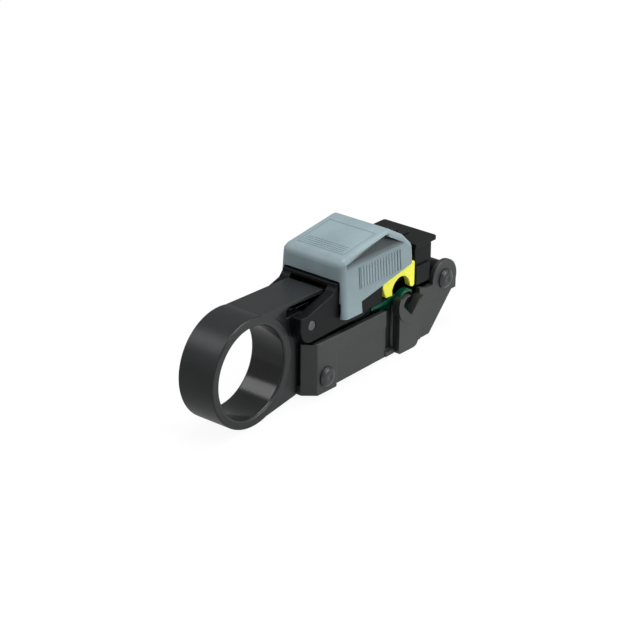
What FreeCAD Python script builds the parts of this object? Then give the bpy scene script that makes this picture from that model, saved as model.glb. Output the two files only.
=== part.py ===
import FreeCAD, Part
import math
import os

from FreeCAD import Vector

# Rotary coaxial cable stripper with a finger ring, a hinged jaw and a lift-off blade cassette.
# Millimetres. The origin is the middle of the finger ring, whose bore runs along Y.
# +X runs rearward to the ratchet end and +Z is up. Both sides are alike about the plane Y = 0.

# Finger ring, its arm and the foot that the lower shell is riveted to
RING_BORE_R = 14.0
RING_WALL = 3.06
RING_WIDTH = 13.3
RING_EDGE = 0.5
BORE_LIP = 0.55
ARM_TOP_Z = 16.7
ARM_DROP = 0.5
ARM_THICK = 1.4
ARM_REAR_X = 31.0
WEB_RECESS = 0.6
WEB_LOWER_SLOPE = 0.15
WINDOW_FRONT_X = 15.3
HUB_R = 3.35
FOOT_REAR_X = 33.0
FOOT_TOP_Z = 1.6
HUB_REAR_X = 26.4

# Pivot pin of the jaw and the two shell rivets
PIN_X = 21.74
PIN_Z = 8.49
PIN_R = 1.6
PIN_SINK = 0.12
FRONT_RIVET_X = 27.35
FRONT_RIVET_Z = -9.34
REAR_RIVET_X = 83.95
REAR_RIVET_Z = 3.8
RIVET_R = 1.6
RIVET_HEAD_R = 3.15
RIVET_HEAD_H = 1.25
RIVET_DIMPLE_R = 0.9
RIVET_DIMPLE = 0.3
RIVET_BOSS_T = 1.5
PIN_CHAMFER = 0.25
PIN_CLEAR = 0.04
SHANK_CLEAR = 0.06

# Lower shell
SHELL_W = 22.7
SHELL_WALL = 1.8
SHELL_FLOOR = 1.9
SHELL_FRONT_X = 20.0
SHELL_RIM_Z = 2.34
SHELL_BOTTOM_Z = -13.48
SHELL_BOTTOM_RISE = 0.019
FOOT_BLOCK_REAR_X = 32.0
FOOT_BLOCK_DROP = 0.9
CORNER_CHAMFER_X = 3.2
CORNER_CHAMFER_Y = 3.8
REAR_BOTTOM_X = 77.1
SLOPE_TOP_X = 88.3
SLOPE_TOP_Z = -0.92
EAR_REAR_X = 89.8
EAR_R = 6.1
BACK_WALL_T = 2.4
REAR_RIM_FRONT_X = 71.3
REAR_RIM_FRONT_Z = 4.7
REAR_RIM_BACK_Z = 3.6
REAR_RIM_FLAT = 3.0
PANEL_TOP_Z = -3.0
PANEL_DEPTH = 0.3
PANEL_GAP = 3.0
FRONT_SLOT_CLEAR = 0.35

# Saddle clip that straps round the shell and carries the V notches
SADDLE_X = 64.4
SADDLE_POST_W = 9.7
SADDLE_PROUD = 1.95
SADDLE_SINK = 0.65
SADDLE_OUT_Y = SHELL_W / 2 + SADDLE_PROUD
SADDLE_IN_Y = SHELL_W / 2 - SADDLE_SINK
SADDLE_BOSS_R = 6.0
SADDLE_BOSS_STEP = 0.3
SADDLE_LIP_Z = 5.0
SADDLE_FOOT_R = 0.8
NOTCH_X = 64.8
NOTCH_ROUND_R = 3.7
NOTCH_PLATE_T = 1.5
SADDLE_BOTTOM_Z = -13.3
SADDLE_STRAP_TOP_Z = -11.9
SADDLE_CORNER_R = 2.6
NOTCH_VERTEX_Z = -1.6
NOTCH_FRONT_ANGLE = 45.0
NOTCH_REAR_ANGLE = 51.5
RECESS_W = 4.4
RECESS_BOTTOM_Z = -11.6
RECESS_DEPTH = 2.3
RECESS_CORNER_R = 1.2
SADDLE_CLEAR = 0.15
PAD_T = 2.0
PAD_TOP_Z = 0.6
PAD_LAP = 0.4
SPRING_FLOOR_H = 1.6
SPRING_FLOOR_MARGIN = 2.0

# Sprung cable block with its two cable eyes
BLOCK_CLEAR = 0.3
EYE_R = 3.25
EYE_WALL = 0.85
EYE_Z = 2.1
EYE_OUT_Y = SADDLE_OUT_Y - NOTCH_PLATE_T - BLOCK_CLEAR
EYE_THICK = 2.6
EYE_NECK_HALF_X = 3.0
EYE_ROUND = 0.38
BLOCK_BED_TOP_Z = -1.2
BLOCK_BED_BOTTOM_Z = -3.0
BLOCK_STEM_BOTTOM_Z = -6.2
BLOCK_STEM_HALF_X = 3.4
BLOCK_STEM_HALF_Y = 6.0
BLOCK_TRAVEL = 1.0
RAIL_FRONT_X = 50.4
RAIL_TOP_Z = 4.2
RAIL_H = 1.2
RAIL_W = 1.2
RAIL_GAP = 0.35
RAIL_OUT_Y = SHELL_W / 2 - SHELL_WALL - RAIL_GAP
LINK_RISE = 1.0
LINK_LENGTH = 2.6
RAIL_NECK_T = 1.0
RAIL_ROUND = 0.54

# Jaw: the hinged carrier that the cassette stands on
JAW_INSET = 0.95
JAW_W = SHELL_W - 2 * JAW_INSET
JAW_WALL = 2.0
EAR_GAP = 0.3
EAR_KNUCKLE_R = 5.1
EAR_TOP_FRONT_Z = 12.15
EAR_KINK_X = 19.7
EAR_KINK_Z = 12.0
EAR_TOP_REAR_X = 31.0
EAR_TOP_REAR_Z = 15.4
EAR_REAR_END_X = 33.2
JAW_TOP_Z = 17.95
JAW_BOTTOM_Z = 3.8
JAW_STEP_X = 45.5
JAW_STEP_Z = 5.2
BAR_FRONT_X = 32.6
BAR_REAR_X = 34.4
BAR_H = 1.35
BAR_ROUND = 0.54
GUIDE_GAP_FRONT_X = 54.2
GUIDE_GAP_REAR_X = 70.6
INNER_WEB_STEP = 1.5
INNER_WEB_T = 1.1
INNER_WEB_IN_Y = JAW_W / 2 - JAW_WALL - INNER_WEB_STEP
INNER_WEB_OUT_Y = INNER_WEB_IN_Y + INNER_WEB_T
INNER_WEB_BOTTOM_Z = 8.0
JAW_REAR_X = 77.4
REAR_WALL_X = 78.7
REAR_WALL_T = 1.6
LEDGE_Z = 11.5
LEDGE_INSET = 0.65
PLATE_FRONT_X = 70.3
PLATE_REAR_X = 80.7
PLATE_TOP_Z = 18.95
PLATE_T = 1.5
PLATE_CORNER_R = 0.9
PLATE_INSET = 0.1
SPRING_RIB_X = 35.0
RIB_T = 1.8
SPRING_RIB_Z = 12.15
SEAT_RIB_X = 50.0
SEAT_RIB_TOP_Z = 11.1
SEAT_RIB_H = 2.4
LATCH_X = 70.3
LATCH_T = 2.6
LATCH_W = 4.4
LATCH_H = 2.4
LATCH_SLIT = 0.6
LATCH_SLIT_LENGTH = 6.5

# Ratchet: teeth on the jaw's end and the pawl on the rear rivet
TOOTH_COUNT = 4
TOOTH_PITCH = 0.75
TOOTH_DEPTH = 0.95
TOOTH_TOP_Z = 6.6
TOOTH_FLAT = 0.3
TOOTH_HALF_Y = 4.6
PAWL_HUB_R = 4.9
PAWL_HUB_ROUND = 0.4
PAWL_SEAT_CLEAR = 0.3
PAWL_HALF_Y = SHELL_W / 2 - SHELL_WALL - RAIL_GAP
PAWL_NOSE_HALF_Y = 4.8
PAWL_NOSE_X = 78.75
PAWL_NOSE_Z = 8.05
PAWL_NOSE_H = 0.75
PAWL_NOSE_ROOT_H = 1.3
PAWL_NOSE_RAMP = 2.4
SPRING_POCKET_R = 4.1

# Springs
JAW_SPRING_WIRE = 0.9
JAW_SPRING_R = 2.75
JAW_SPRING_TURNS = 4
JAW_SPRING_HALF_Y = 2.75
JAW_SPRING_REACH = 14.6
JAW_SPRING_DROP = 6.2
PAWL_SPRING_WIRE = 0.7
PAWL_SPRING_R = 2.65
PAWL_SPRING_TURNS = 4
PAWL_SPRING_HALF_Y = 2.3
PAWL_SPRING_REACH = 2.6
PAWL_SPRING_DROP = 6.2
BLOCK_SPRING_WIRE = 0.9
BLOCK_SPRING_R = 2.9
BLOCK_SPRING_TURNS = 3.5
BOSS_R = 1.9
BOSS_H = 1.6
BOSS_CLEAR = 0.4
SPRING_SEAT_CLEAR = 0.05

# Cassette cover
COVER_FRONT_X = 33.5
COVER_CLEAR = 0.25
COVER_SIDE_T = 1.35
COVER_WALL_Y = JAW_W / 2 + COVER_CLEAR
COVER_HALF_W = COVER_WALL_Y + COVER_SIDE_T
COVER_DRAFT = 0.075
COVER_DRAFT_Z = 20.0
COVER_TOP_T = 1.8
COVER_END_T = 1.8
COVER_FRONT_Z = 18.35
COVER_TOP_FRONT_Z = 24.75
COVER_PEAK_X = 56.6
COVER_PEAK_Z = 28.2
COVER_FALL_X = 63.0
COVER_FALL_Z = 24.5
COVER_KNEE_Z = 20.6
COVER_REAR_X = 66.9
COVER_SKIRT_REAR_Z = 14.9
COVER_SKIRT_FRONT_Z = 10.25
LEG_REAR_X = 41.6
LEG_BOTTOM_Z = 6.7
LEG_STEP_Z = 11.6
LEG_STEP = 0.5
COVER_FRONT_R = 3.0
COVER_PEAK_R = 1.6
COVER_REAR_R = 5.0
COVER_EDGE_R = 1.8
TRIANGLE = ((35.5, 22.2), (53.9, 27.0), (62.4, 22.4))
TRIANGLE_DEPTH = 0.9
RIB_FRONT_X = 41.0
RIB_REAR_X = 59.5
RIB_BOTTOM_Z = 14.6
RIB_TOP_Z = 21.2
GRIP_RIB_COUNT = 17
GRIP_GROOVE_W = 0.5
GRIP_GROOVE_DEPTH = 0.35

# Blade holder, blades, screws and cable guides inside the cassette
HOLDER_FRONT_X = 37.2
HOLDER_NECK_X = 52.1
HOLDER_REAR_X = 69.4
HOLDER_HALF_W = JAW_W / 2 - JAW_WALL - EAR_GAP
HOLDER_NECK_HALF_W = INNER_WEB_IN_Y - EAR_GAP
HOLDER_PLATE_Z = 11.4
HOLDER_PLATE_T = 2.2
HEAD_FRONT_X = 59.0
HEAD_BOTTOM_Z = 8.4
HEAD_TOP_Z = 14.4
BLADE_W = 8.0
BLADE_T = 0.6
BLADE_TOP_Z = 13.6
BLADE_TIPS = (4.7, 5.0, 5.3)
BLADE_SPACING = 4.2
BLADE_BEVEL = 2.6
BLADE_POINT_HALF_X = 1.0
BLADE_SLOT_CLEAR = 0.05
TIE_R = 0.9
TIE_XS = (62.4, 66.4)
TIE_Z = 10.9
TIE_HEAD_R = 1.5
TIE_HEAD_H = 0.8
SCREW_XS = (41.5, 47.0)
SCREW_R = 1.1
SCREW_HEAD_R = 2.0
SCREW_HEAD_H = 1.2
SCREW_LENGTH = 9.0
DRIVER_SLOT = 0.5
PILLAR_R = 2.4
GUIDE_INSET = 0.1
GUIDE_OUT_Y = JAW_W / 2 - GUIDE_INSET
GUIDE_T = GUIDE_OUT_Y - INNER_WEB_OUT_Y - EAR_GAP
GUIDE_FOOT_R = 0.7
GUIDE_FRONT_X = 54.6
GUIDE_REAR_X = 69.9
GUIDE_TOP_Z = 17.2
GUIDE_SLOPE_FRONT_Z = 9.2
GUIDE_FOOT_Z = 5.8
GUIDE_FOOT_FRONT_X = 56.2
GUIDE_ARCH_R = 4.3
GUIDE_ARCH_X = 63.3
GUIDE_ARCH_Z = 6.3
GUIDE_REAR_FOOT_Z = 6.5
GUIDE_REAR_FOOT_X = 67.3
GUIDE_REAR_FOOT_W = 1.3
GUIDE_REAR_FOOT_DROP = 0.9
GUIDE_SKIRT_LAP = 0.6


def box(x0, x1, y0, y1, z0, z1):
    """A box between two corners."""
    return Part.makeBox(x1 - x0, y1 - y0, z1 - z0, Vector(x0, y0, z0))


def rod(x, z, radius, y0, y1):
    """A cylinder along Y."""
    return Part.makeCylinder(radius, y1 - y0, Vector(x, y0, z), Vector(0, 1, 0))


def side_plate(points, y0, y1):
    """A side outline, given as (x, z) corners, made thick from y0 to y1."""
    corners = [Vector(x, y0, z) for x, z in points]
    face = Part.Face(Part.makePolygon(corners + corners[:1]))
    return face.extrude(Vector(0, y1 - y0, 0))


def both_sides(shape):
    """A piece and its mirror image about the middle plane."""
    return shape.fuse(shape.mirror(Vector(0, 0, 0), Vector(0, 1, 0)))


def round_along_y(shape, corners, radius):
    """Rounds the edges that run along Y through the given (x, z) corners."""
    chosen = []
    for edge in shape.Edges:
        ends = [vertex.Point for vertex in edge.Vertexes]
        if len(ends) != 2 or (ends[0] - ends[1]).Length < 1e-6:
            continue
        along = abs((ends[1] - ends[0]).normalize().y)
        near = any(math.hypot(ends[0].x - x, ends[0].z - z) < 1e-3 for x, z in corners)
        if along > 0.999 and near:
            chosen.append(edge)
    return shape.makeFillet(radius, chosen) if chosen else shape


def ring_r():
    """Outer radius of the finger ring."""
    return RING_BORE_R + RING_WALL


def arm_top(x):
    """Height of the arm's top face, which falls gently towards its free end."""
    return ARM_TOP_Z - ARM_DROP * x / ARM_REAR_X


def shell_bottom(x):
    """Height of the shell's underside behind the foot block."""
    return SHELL_BOTTOM_Z + SHELL_BOTTOM_RISE * (x - FOOT_BLOCK_REAR_X)


def shell_inner_y():
    """Inner face of the shell's side walls."""
    return SHELL_W / 2 - SHELL_WALL


def ring_frame():
    """Ring, arm, hub and foot, moulded as one piece."""
    half = RING_WIDTH / 2
    web_half = half - WEB_RECESS
    radius = ring_r()
    tangent = math.atan(WEB_LOWER_SLOPE)
    low = (radius * math.sin(tangent), -radius * math.cos(tangent))
    front_x = SHELL_FRONT_X - EAR_GAP
    front_low = (front_x, low[1] + WEB_LOWER_SLOPE * (front_x - low[0]))
    foot_low = shell_bottom(FOOT_BLOCK_REAR_X) + SHELL_FLOOR + EAR_GAP
    ring = rod(0, 0, radius, -half, half)
    rims = [edge for edge in ring.Edges if edge.Closed]
    ring = ring.makeFillet(RING_EDGE, rims)
    arm_start = math.sqrt(radius ** 2 - arm_top(0) ** 2)
    arm = side_plate([(arm_start, arm_top(arm_start)), (ARM_REAR_X, arm_top(ARM_REAR_X)),
                      (ARM_REAR_X, arm_top(ARM_REAR_X) - ARM_THICK), (WINDOW_FRONT_X, arm_top(0) - ARM_THICK),
                      (arm_start, arm_top(0) - ARM_THICK - RING_WALL)], -half, half)
    arm = round_along_y(arm, [(ARM_REAR_X, arm_top(ARM_REAR_X))], ARM_THICK / 2)
    web = side_plate([(0, arm_top(0) - ARM_THICK), (WINDOW_FRONT_X, arm_top(0) - ARM_THICK),
                      (WINDOW_FRONT_X, PIN_Z + HUB_R), (PIN_X, PIN_Z + HUB_R),
                      (HUB_REAR_X, PIN_Z - HUB_R / 2), (HUB_REAR_X, FOOT_TOP_Z), (FOOT_REAR_X, FOOT_TOP_Z),
                      (FOOT_REAR_X, foot_low), (front_x, foot_low), front_low, low], -web_half, web_half)
    hub = rod(PIN_X, PIN_Z, HUB_R, -half, half)
    foot = rod(FRONT_RIVET_X, FRONT_RIVET_Z, RIVET_R + RIVET_BOSS_T, -half, half)
    foot = foot.common(box(SHELL_FRONT_X, FOOT_REAR_X, -half, half, foot_low, FOOT_TOP_Z))
    body = ring.fuse([arm, web, hub, foot]).removeSplitter()
    bore = rod(0, 0, RING_BORE_R, -half, half)
    lip = Part.makeCone(RING_BORE_R + BORE_LIP, RING_BORE_R, BORE_LIP, Vector(0, -half, 0), Vector(0, 1, 0))
    spring_room = rod(PIN_X, PIN_Z, SPRING_POCKET_R, -JAW_SPRING_HALF_Y, JAW_SPRING_HALF_Y)
    leg_x = PIN_X - JAW_SPRING_R
    leg_room = box(leg_x - JAW_SPRING_WIRE, leg_x + JAW_SPRING_WIRE, -JAW_SPRING_HALF_Y, JAW_SPRING_HALF_Y,
                   FOOT_TOP_Z, PIN_Z)
    body = body.cut(bore).cut(both_sides(lip)).cut(spring_room).cut(leg_room)
    body = body.cut(rod(PIN_X, PIN_Z, PIN_R + PIN_CLEAR, -half, half))
    return body.cut(rod(FRONT_RIVET_X, FRONT_RIVET_Z, RIVET_R + SHANK_CLEAR, -half, half))


def rivet(x, z):
    """A rivet along Y with a dimpled dome head on each side of the shell."""
    half = SHELL_W / 2
    crown = half + RIVET_HEAD_H
    face = half + RIVET_HEAD_H * 0.35
    start = Vector(0, 0, 0)
    points = [start, Vector(RIVET_R, 0, 0), Vector(RIVET_R, half, 0), Vector(RIVET_HEAD_R, half, 0),
              Vector(RIVET_HEAD_R, face, 0)]
    edges = [Part.LineSegment(a, b).toShape() for a, b in zip(points, points[1:])]
    shoulder = Vector(RIVET_HEAD_R * 0.78, crown - RIVET_HEAD_H * 0.18, 0)
    inner = Vector(RIVET_DIMPLE_R, crown, 0)
    dip = Vector(0, crown - RIVET_DIMPLE, 0)
    edges.append(Part.Arc(points[-1], shoulder, inner).toShape())
    edges.append(Part.LineSegment(inner, dip).toShape())
    edges.append(Part.LineSegment(dip, start).toShape())
    side = Part.Face(Part.Wire(edges)).revolve(Vector(0, 0, 0), Vector(0, 1, 0), 360)
    side = Part.Solid(side) if side.ShapeType == "Shell" else side
    whole = both_sides(side).removeSplitter()
    whole.translate(Vector(x, 0, z))
    return whole


def pivot_pin():
    """The steel pin that the jaw turns on."""
    half = JAW_W / 2 - PIN_SINK
    pin = rod(PIN_X, PIN_Z, PIN_R, -half, half)
    return pin.makeChamfer(PIN_CHAMFER, [edge for edge in pin.Edges if edge.Closed])


def shell_outline():
    """Side outline of the lower shell, without the ears and the foot block."""
    return [(SHELL_FRONT_X, shell_bottom(SHELL_FRONT_X)), (REAR_BOTTOM_X, shell_bottom(REAR_BOTTOM_X)),
            (SLOPE_TOP_X, SLOPE_TOP_Z), (SLOPE_TOP_X, REAR_RIM_BACK_Z),
            (REAR_RIVET_X - EAR_R - REAR_RIM_FLAT, REAR_RIM_BACK_Z),
            (REAR_RIM_FRONT_X, REAR_RIM_FRONT_Z), (REAR_RIM_FRONT_X, SHELL_RIM_Z),
            (SHELL_FRONT_X, SHELL_RIM_Z)]


def shell_ears():
    """The two ears that the rear rivet passes through."""
    half = SHELL_W / 2
    ears = rod(REAR_RIVET_X, REAR_RIVET_Z, EAR_R, -half, half)
    lower = side_plate([(REAR_RIVET_X - EAR_R, REAR_RIVET_Z), (REAR_RIVET_X - EAR_R, SLOPE_TOP_Z),
                        (EAR_REAR_X, SLOPE_TOP_Z), (EAR_REAR_X, REAR_RIVET_Z + 0.5),
                        (REAR_RIVET_X, REAR_RIVET_Z)], -half, half)
    return ears.fuse(lower)


def lower_shell():
    """The trough-shaped lower body, with its foot block, side panels and rear ears."""
    half = SHELL_W / 2
    inner = shell_inner_y()
    body = side_plate(shell_outline(), -half, half).fuse(shell_ears())
    foot_z = shell_bottom(FOOT_BLOCK_REAR_X) - FOOT_BLOCK_DROP
    body = body.fuse(box(SHELL_FRONT_X, FOOT_BLOCK_REAR_X, -half, half, foot_z, SHELL_RIM_Z))
    body = body.removeSplitter()
    # Chamfered front corners
    front = SHELL_FRONT_X - 1
    front_y = half - CORNER_CHAMFER_Y * (1 + 1 / CORNER_CHAMFER_X)
    corner = [Vector(front, front_y, foot_z), Vector(SHELL_FRONT_X + CORNER_CHAMFER_X, half, foot_z),
              Vector(SHELL_FRONT_X + CORNER_CHAMFER_X, half + 1, foot_z), Vector(front, half + 1, foot_z)]
    wedge = Part.Face(Part.makePolygon(corner + corner[:1])).extrude(Vector(0, 0, SHELL_RIM_Z - foot_z))
    body = body.cut(both_sides(wedge))
    # Hollow, open at the top
    floor_front = shell_bottom(SHELL_FRONT_X) + SHELL_FLOOR
    floor_rear = shell_bottom(REAR_BOTTOM_X) + SHELL_FLOOR
    slope = (SLOPE_TOP_Z - shell_bottom(REAR_BOTTOM_X)) / (SLOPE_TOP_X - REAR_BOTTOM_X)
    back_top_x = SLOPE_TOP_X - BACK_WALL_T
    back_low_x = REAR_BOTTOM_X - 0.6
    top = REAR_RIVET_Z + EAR_R + 1
    hollow = side_plate([(SHELL_FRONT_X + SHELL_WALL, floor_front), (back_low_x, floor_rear),
                         (back_low_x + (SLOPE_TOP_Z - floor_rear) / slope, SLOPE_TOP_Z),
                         (back_top_x, SLOPE_TOP_Z), (EAR_REAR_X + 1, SLOPE_TOP_Z + 0.3),
                         (EAR_REAR_X + 1, top), (SHELL_FRONT_X + SHELL_WALL, top)], -inner, inner)
    body = body.cut(hollow).cut(rod(REAR_RIVET_X, REAR_RIVET_Z, PAWL_HUB_R + PAWL_SEAT_CLEAR, -inner, inner))
    # Slot in the front wall for the ring frame's web
    slot_half = RING_WIDTH / 2 + FRONT_SLOT_CLEAR
    slot_low = shell_bottom(FOOT_BLOCK_REAR_X) + SHELL_FLOOR
    body = body.cut(box(front, SHELL_FRONT_X + SHELL_WALL, -slot_half, slot_half, slot_low, SHELL_RIM_Z))
    # Shallow side panels
    post_front = SADDLE_X - SADDLE_POST_W / 2
    post_rear = SADDLE_X + SADDLE_POST_W / 2
    panel_end = post_front - RECESS_W
    panel = box(FOOT_BLOCK_REAR_X, panel_end, half - PANEL_DEPTH, half, foot_z - 1, PANEL_TOP_Z)
    rear_panel = box(post_rear + PANEL_GAP, SLOPE_TOP_X + 1, half - PANEL_DEPTH, half, foot_z, SLOPE_TOP_Z)
    body = body.cut(both_sides(panel)).cut(both_sides(rear_panel))
    # Channel for the saddle clip, the recess beside it and the window for the cable block
    clear = SADDLE_CLEAR
    wide = half + 1
    low = foot_z - 1
    high = REAR_RIM_FRONT_Z + 1
    strip = box(post_front - clear, post_rear + clear, SADDLE_IN_Y - clear, wide, low, high)
    boss = rod(NOTCH_X, EYE_Z, SADDLE_BOSS_R + clear, SADDLE_IN_Y - clear, wide)
    channel = box(post_front - clear, post_rear + clear, -wide, wide, low, SADDLE_STRAP_TOP_Z + clear)
    recess = box(panel_end, post_front - clear, half - RECESS_DEPTH, wide, RECESS_BOTTOM_Z, REAR_RIM_FRONT_Z)
    recess = round_along_y(recess, [(panel_end, RECESS_BOTTOM_Z)], RECESS_CORNER_R)
    pocket_x = EYE_R + EYE_WALL + BLOCK_CLEAR
    window_z = BLOCK_BED_BOTTOM_Z - BLOCK_TRAVEL - BLOCK_CLEAR
    window = box(NOTCH_X - pocket_x, NOTCH_X + pocket_x, -wide, wide, window_z, high)
    pad = box(panel_end - 1, post_front + PAD_LAP, inner - PAD_T, inner, floor_front - 1, PAD_TOP_Z)
    boss_z = shell_bottom(SADDLE_X) + SHELL_FLOOR
    spring_boss = Part.makeCylinder(BOSS_R, BOSS_H + 1, Vector(SADDLE_X, 0, boss_z - 1))
    thick_floor = box(post_front - SPRING_FLOOR_MARGIN, post_rear + SPRING_FLOOR_MARGIN, -inner, inner,
                      floor_rear - SHELL_FLOOR / 2, SADDLE_STRAP_TOP_Z + SPRING_FLOOR_H)
    body = body.fuse([both_sides(pad), thick_floor, spring_boss])
    body = body.cut(both_sides(strip)).cut(both_sides(boss)).cut(channel).cut(both_sides(recess)).cut(window)
    body = body.cut(rod(FRONT_RIVET_X, FRONT_RIVET_Z, RIVET_R + SHANK_CLEAR, -half, half))
    body = body.cut(rod(REAR_RIVET_X, REAR_RIVET_Z, RIVET_R + SHANK_CLEAR, -half, half))
    return body.removeSplitter()


def saddle_opening(y0, y1):
    """The post's opening: a V at the bottom, round at the front and open at the rear."""
    rise = 2 * SADDLE_BOSS_R
    front = math.tan(math.radians(NOTCH_FRONT_ANGLE))
    rear = math.tan(math.radians(NOTCH_REAR_ANGLE))
    knee = EYE_Z - NOTCH_VERTEX_Z
    vee = side_plate([(NOTCH_X, NOTCH_VERTEX_Z), (NOTCH_X + rise * rear, NOTCH_VERTEX_Z + rise),
                      (NOTCH_X, NOTCH_VERTEX_Z + rise), (NOTCH_X, EYE_Z),
                      (NOTCH_X - knee * front, EYE_Z)], y0, y1)
    return vee.fuse(rod(NOTCH_X, EYE_Z, NOTCH_ROUND_R, y0, y1).common(
        side_plate([(NOTCH_X - knee * front, EYE_Z), (NOTCH_X, EYE_Z), (NOTCH_X, EYE_Z + rise),
                    (NOTCH_X - rise, EYE_Z + rise), (NOTCH_X - rise, EYE_Z)], y0, y1)))


def eye_pocket():
    """The room behind the notch plate that the cable block's eye moves in."""
    radius = EYE_R + EYE_WALL + BLOCK_CLEAR
    y1 = SADDLE_OUT_Y - NOTCH_PLATE_T
    low = EYE_Z - BLOCK_TRAVEL
    room = rod(NOTCH_X, EYE_Z, radius, 0, y1).fuse(rod(NOTCH_X, low, radius, 0, y1))
    half_x = EYE_NECK_HALF_X + BLOCK_CLEAR
    floor = BLOCK_BED_BOTTOM_Z - BLOCK_TRAVEL - BLOCK_CLEAR
    return room.fuse(box(NOTCH_X - half_x, NOTCH_X + half_x, 0, y1, floor, EYE_Z))


def saddle_clip():
    """The U-shaped clip: a notched boss on a post on each side and a strap under the shell."""
    half_w = SADDLE_POST_W / 2
    front_x = SADDLE_X - half_w
    rear_x = SADDLE_X + half_w
    post_y = SADDLE_OUT_Y - SADDLE_BOSS_STEP
    post = box(front_x, rear_x, SADDLE_IN_Y, post_y, SADDLE_BOTTOM_Z, EYE_Z)
    post = round_along_y(post, [(rear_x, SADDLE_BOTTOM_Z)], SADDLE_CORNER_R)
    post = round_along_y(post, [(front_x, SADDLE_BOTTOM_Z)], SADDLE_FOOT_R)
    boss = rod(NOTCH_X, EYE_Z, SADDLE_BOSS_R, SADDLE_IN_Y, SADDLE_OUT_Y)
    boss = boss.common(box(NOTCH_X - 2 * SADDLE_BOSS_R, NOTCH_X + 2 * SADDLE_BOSS_R, 0, 2 * SADDLE_OUT_Y,
                           EYE_Z - 2 * SADDLE_BOSS_R, SADDLE_LIP_Z))
    post = post.fuse(boss).removeSplitter()
    post = post.cut(saddle_opening(SADDLE_IN_Y - 1, SADDLE_OUT_Y + 1)).cut(eye_pocket())
    strap = box(front_x + SADDLE_FOOT_R, rear_x - SADDLE_CORNER_R, -SADDLE_IN_Y, SADDLE_IN_Y,
                SADDLE_BOTTOM_Z, SADDLE_STRAP_TOP_Z)
    return both_sides(post).fuse(strap).removeSplitter()


def cable_block():
    """The sprung cable bed, with a cable eye at each end and two guide rails."""
    half_x = EYE_R + EYE_WALL
    in_y = EYE_OUT_Y - EYE_THICK
    eye = rod(NOTCH_X, EYE_Z, half_x, in_y, EYE_OUT_Y)
    eye = eye.makeFillet(EYE_ROUND, [edge for edge in eye.Edges if edge.Closed])
    eye = eye.fuse(box(NOTCH_X - EYE_NECK_HALF_X, NOTCH_X + EYE_NECK_HALF_X, in_y, EYE_OUT_Y,
                       BLOCK_BED_BOTTOM_Z, EYE_Z - EYE_R))
    bed = box(NOTCH_X - half_x, NOTCH_X + half_x, -in_y, in_y, BLOCK_BED_BOTTOM_Z, BLOCK_BED_TOP_Z)
    stem = box(SADDLE_X - BLOCK_STEM_HALF_X, SADDLE_X + BLOCK_STEM_HALF_X, -BLOCK_STEM_HALF_Y,
               BLOCK_STEM_HALF_Y, BLOCK_STEM_BOTTOM_Z, BLOCK_BED_BOTTOM_Z)
    rail_low = RAIL_TOP_Z - RAIL_H
    neck_front = NOTCH_X - half_x
    rail_rear = neck_front + RAIL_NECK_T
    link_front = neck_front - LINK_LENGTH
    rail = side_plate([(RAIL_FRONT_X, rail_low), (rail_rear, rail_low), (rail_rear, RAIL_TOP_Z + LINK_RISE),
                       (link_front + LINK_LENGTH, RAIL_TOP_Z + LINK_RISE), (link_front, RAIL_TOP_Z),
                       (RAIL_FRONT_X, RAIL_TOP_Z)], RAIL_OUT_Y - RAIL_W, RAIL_OUT_Y)
    rail = round_along_y(rail, [(RAIL_FRONT_X, RAIL_TOP_Z), (RAIL_FRONT_X, rail_low)], RAIL_ROUND)
    neck = box(neck_front, rail_rear, RAIL_OUT_Y - RAIL_W, RAIL_OUT_Y, BLOCK_BED_BOTTOM_Z, RAIL_TOP_Z)
    body = both_sides(eye.fuse(rail).fuse(neck)).fuse([bed, stem])
    hole = rod(NOTCH_X, EYE_Z, EYE_R, -EYE_OUT_Y, EYE_OUT_Y)
    socket = Part.makeCylinder(BOSS_R + BOSS_CLEAR, BOSS_H, Vector(SADDLE_X, 0, BLOCK_STEM_BOTTOM_Z))
    return body.removeSplitter().cut(hole).cut(socket)


def ear_outline():
    """Side outline of the jaw's front ear, without the round underside of its knuckle."""
    return [(PIN_X, PIN_Z), (PIN_X - EAR_KNUCKLE_R, PIN_Z), (PIN_X - EAR_KNUCKLE_R, EAR_TOP_FRONT_Z),
            (EAR_KINK_X, EAR_KINK_Z), (EAR_TOP_REAR_X, EAR_TOP_REAR_Z), (EAR_REAR_END_X, JAW_TOP_Z),
            (BAR_REAR_X, JAW_TOP_Z), (BAR_REAR_X, JAW_BOTTOM_Z), (PIN_X, PIN_Z - EAR_KNUCKLE_R)]


def jaw_ratchet():
    """Saw teeth on the jaw's end, flat on top and sloping below."""
    teeth = []
    for index in range(TOOTH_COUNT):
        top = TOOTH_TOP_Z - index * TOOTH_PITCH
        tip_x = JAW_REAR_X + TOOTH_DEPTH
        flat_low = top - TOOTH_PITCH * TOOTH_FLAT
        teeth.append(side_plate([(JAW_REAR_X - 0.5, top), (tip_x, top), (tip_x, flat_low),
                                 (JAW_REAR_X, top - TOOTH_PITCH), (JAW_REAR_X - 0.5, top - TOOTH_PITCH)],
                                -TOOTH_HALF_Y, TOOTH_HALF_Y))
    return teeth


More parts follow.
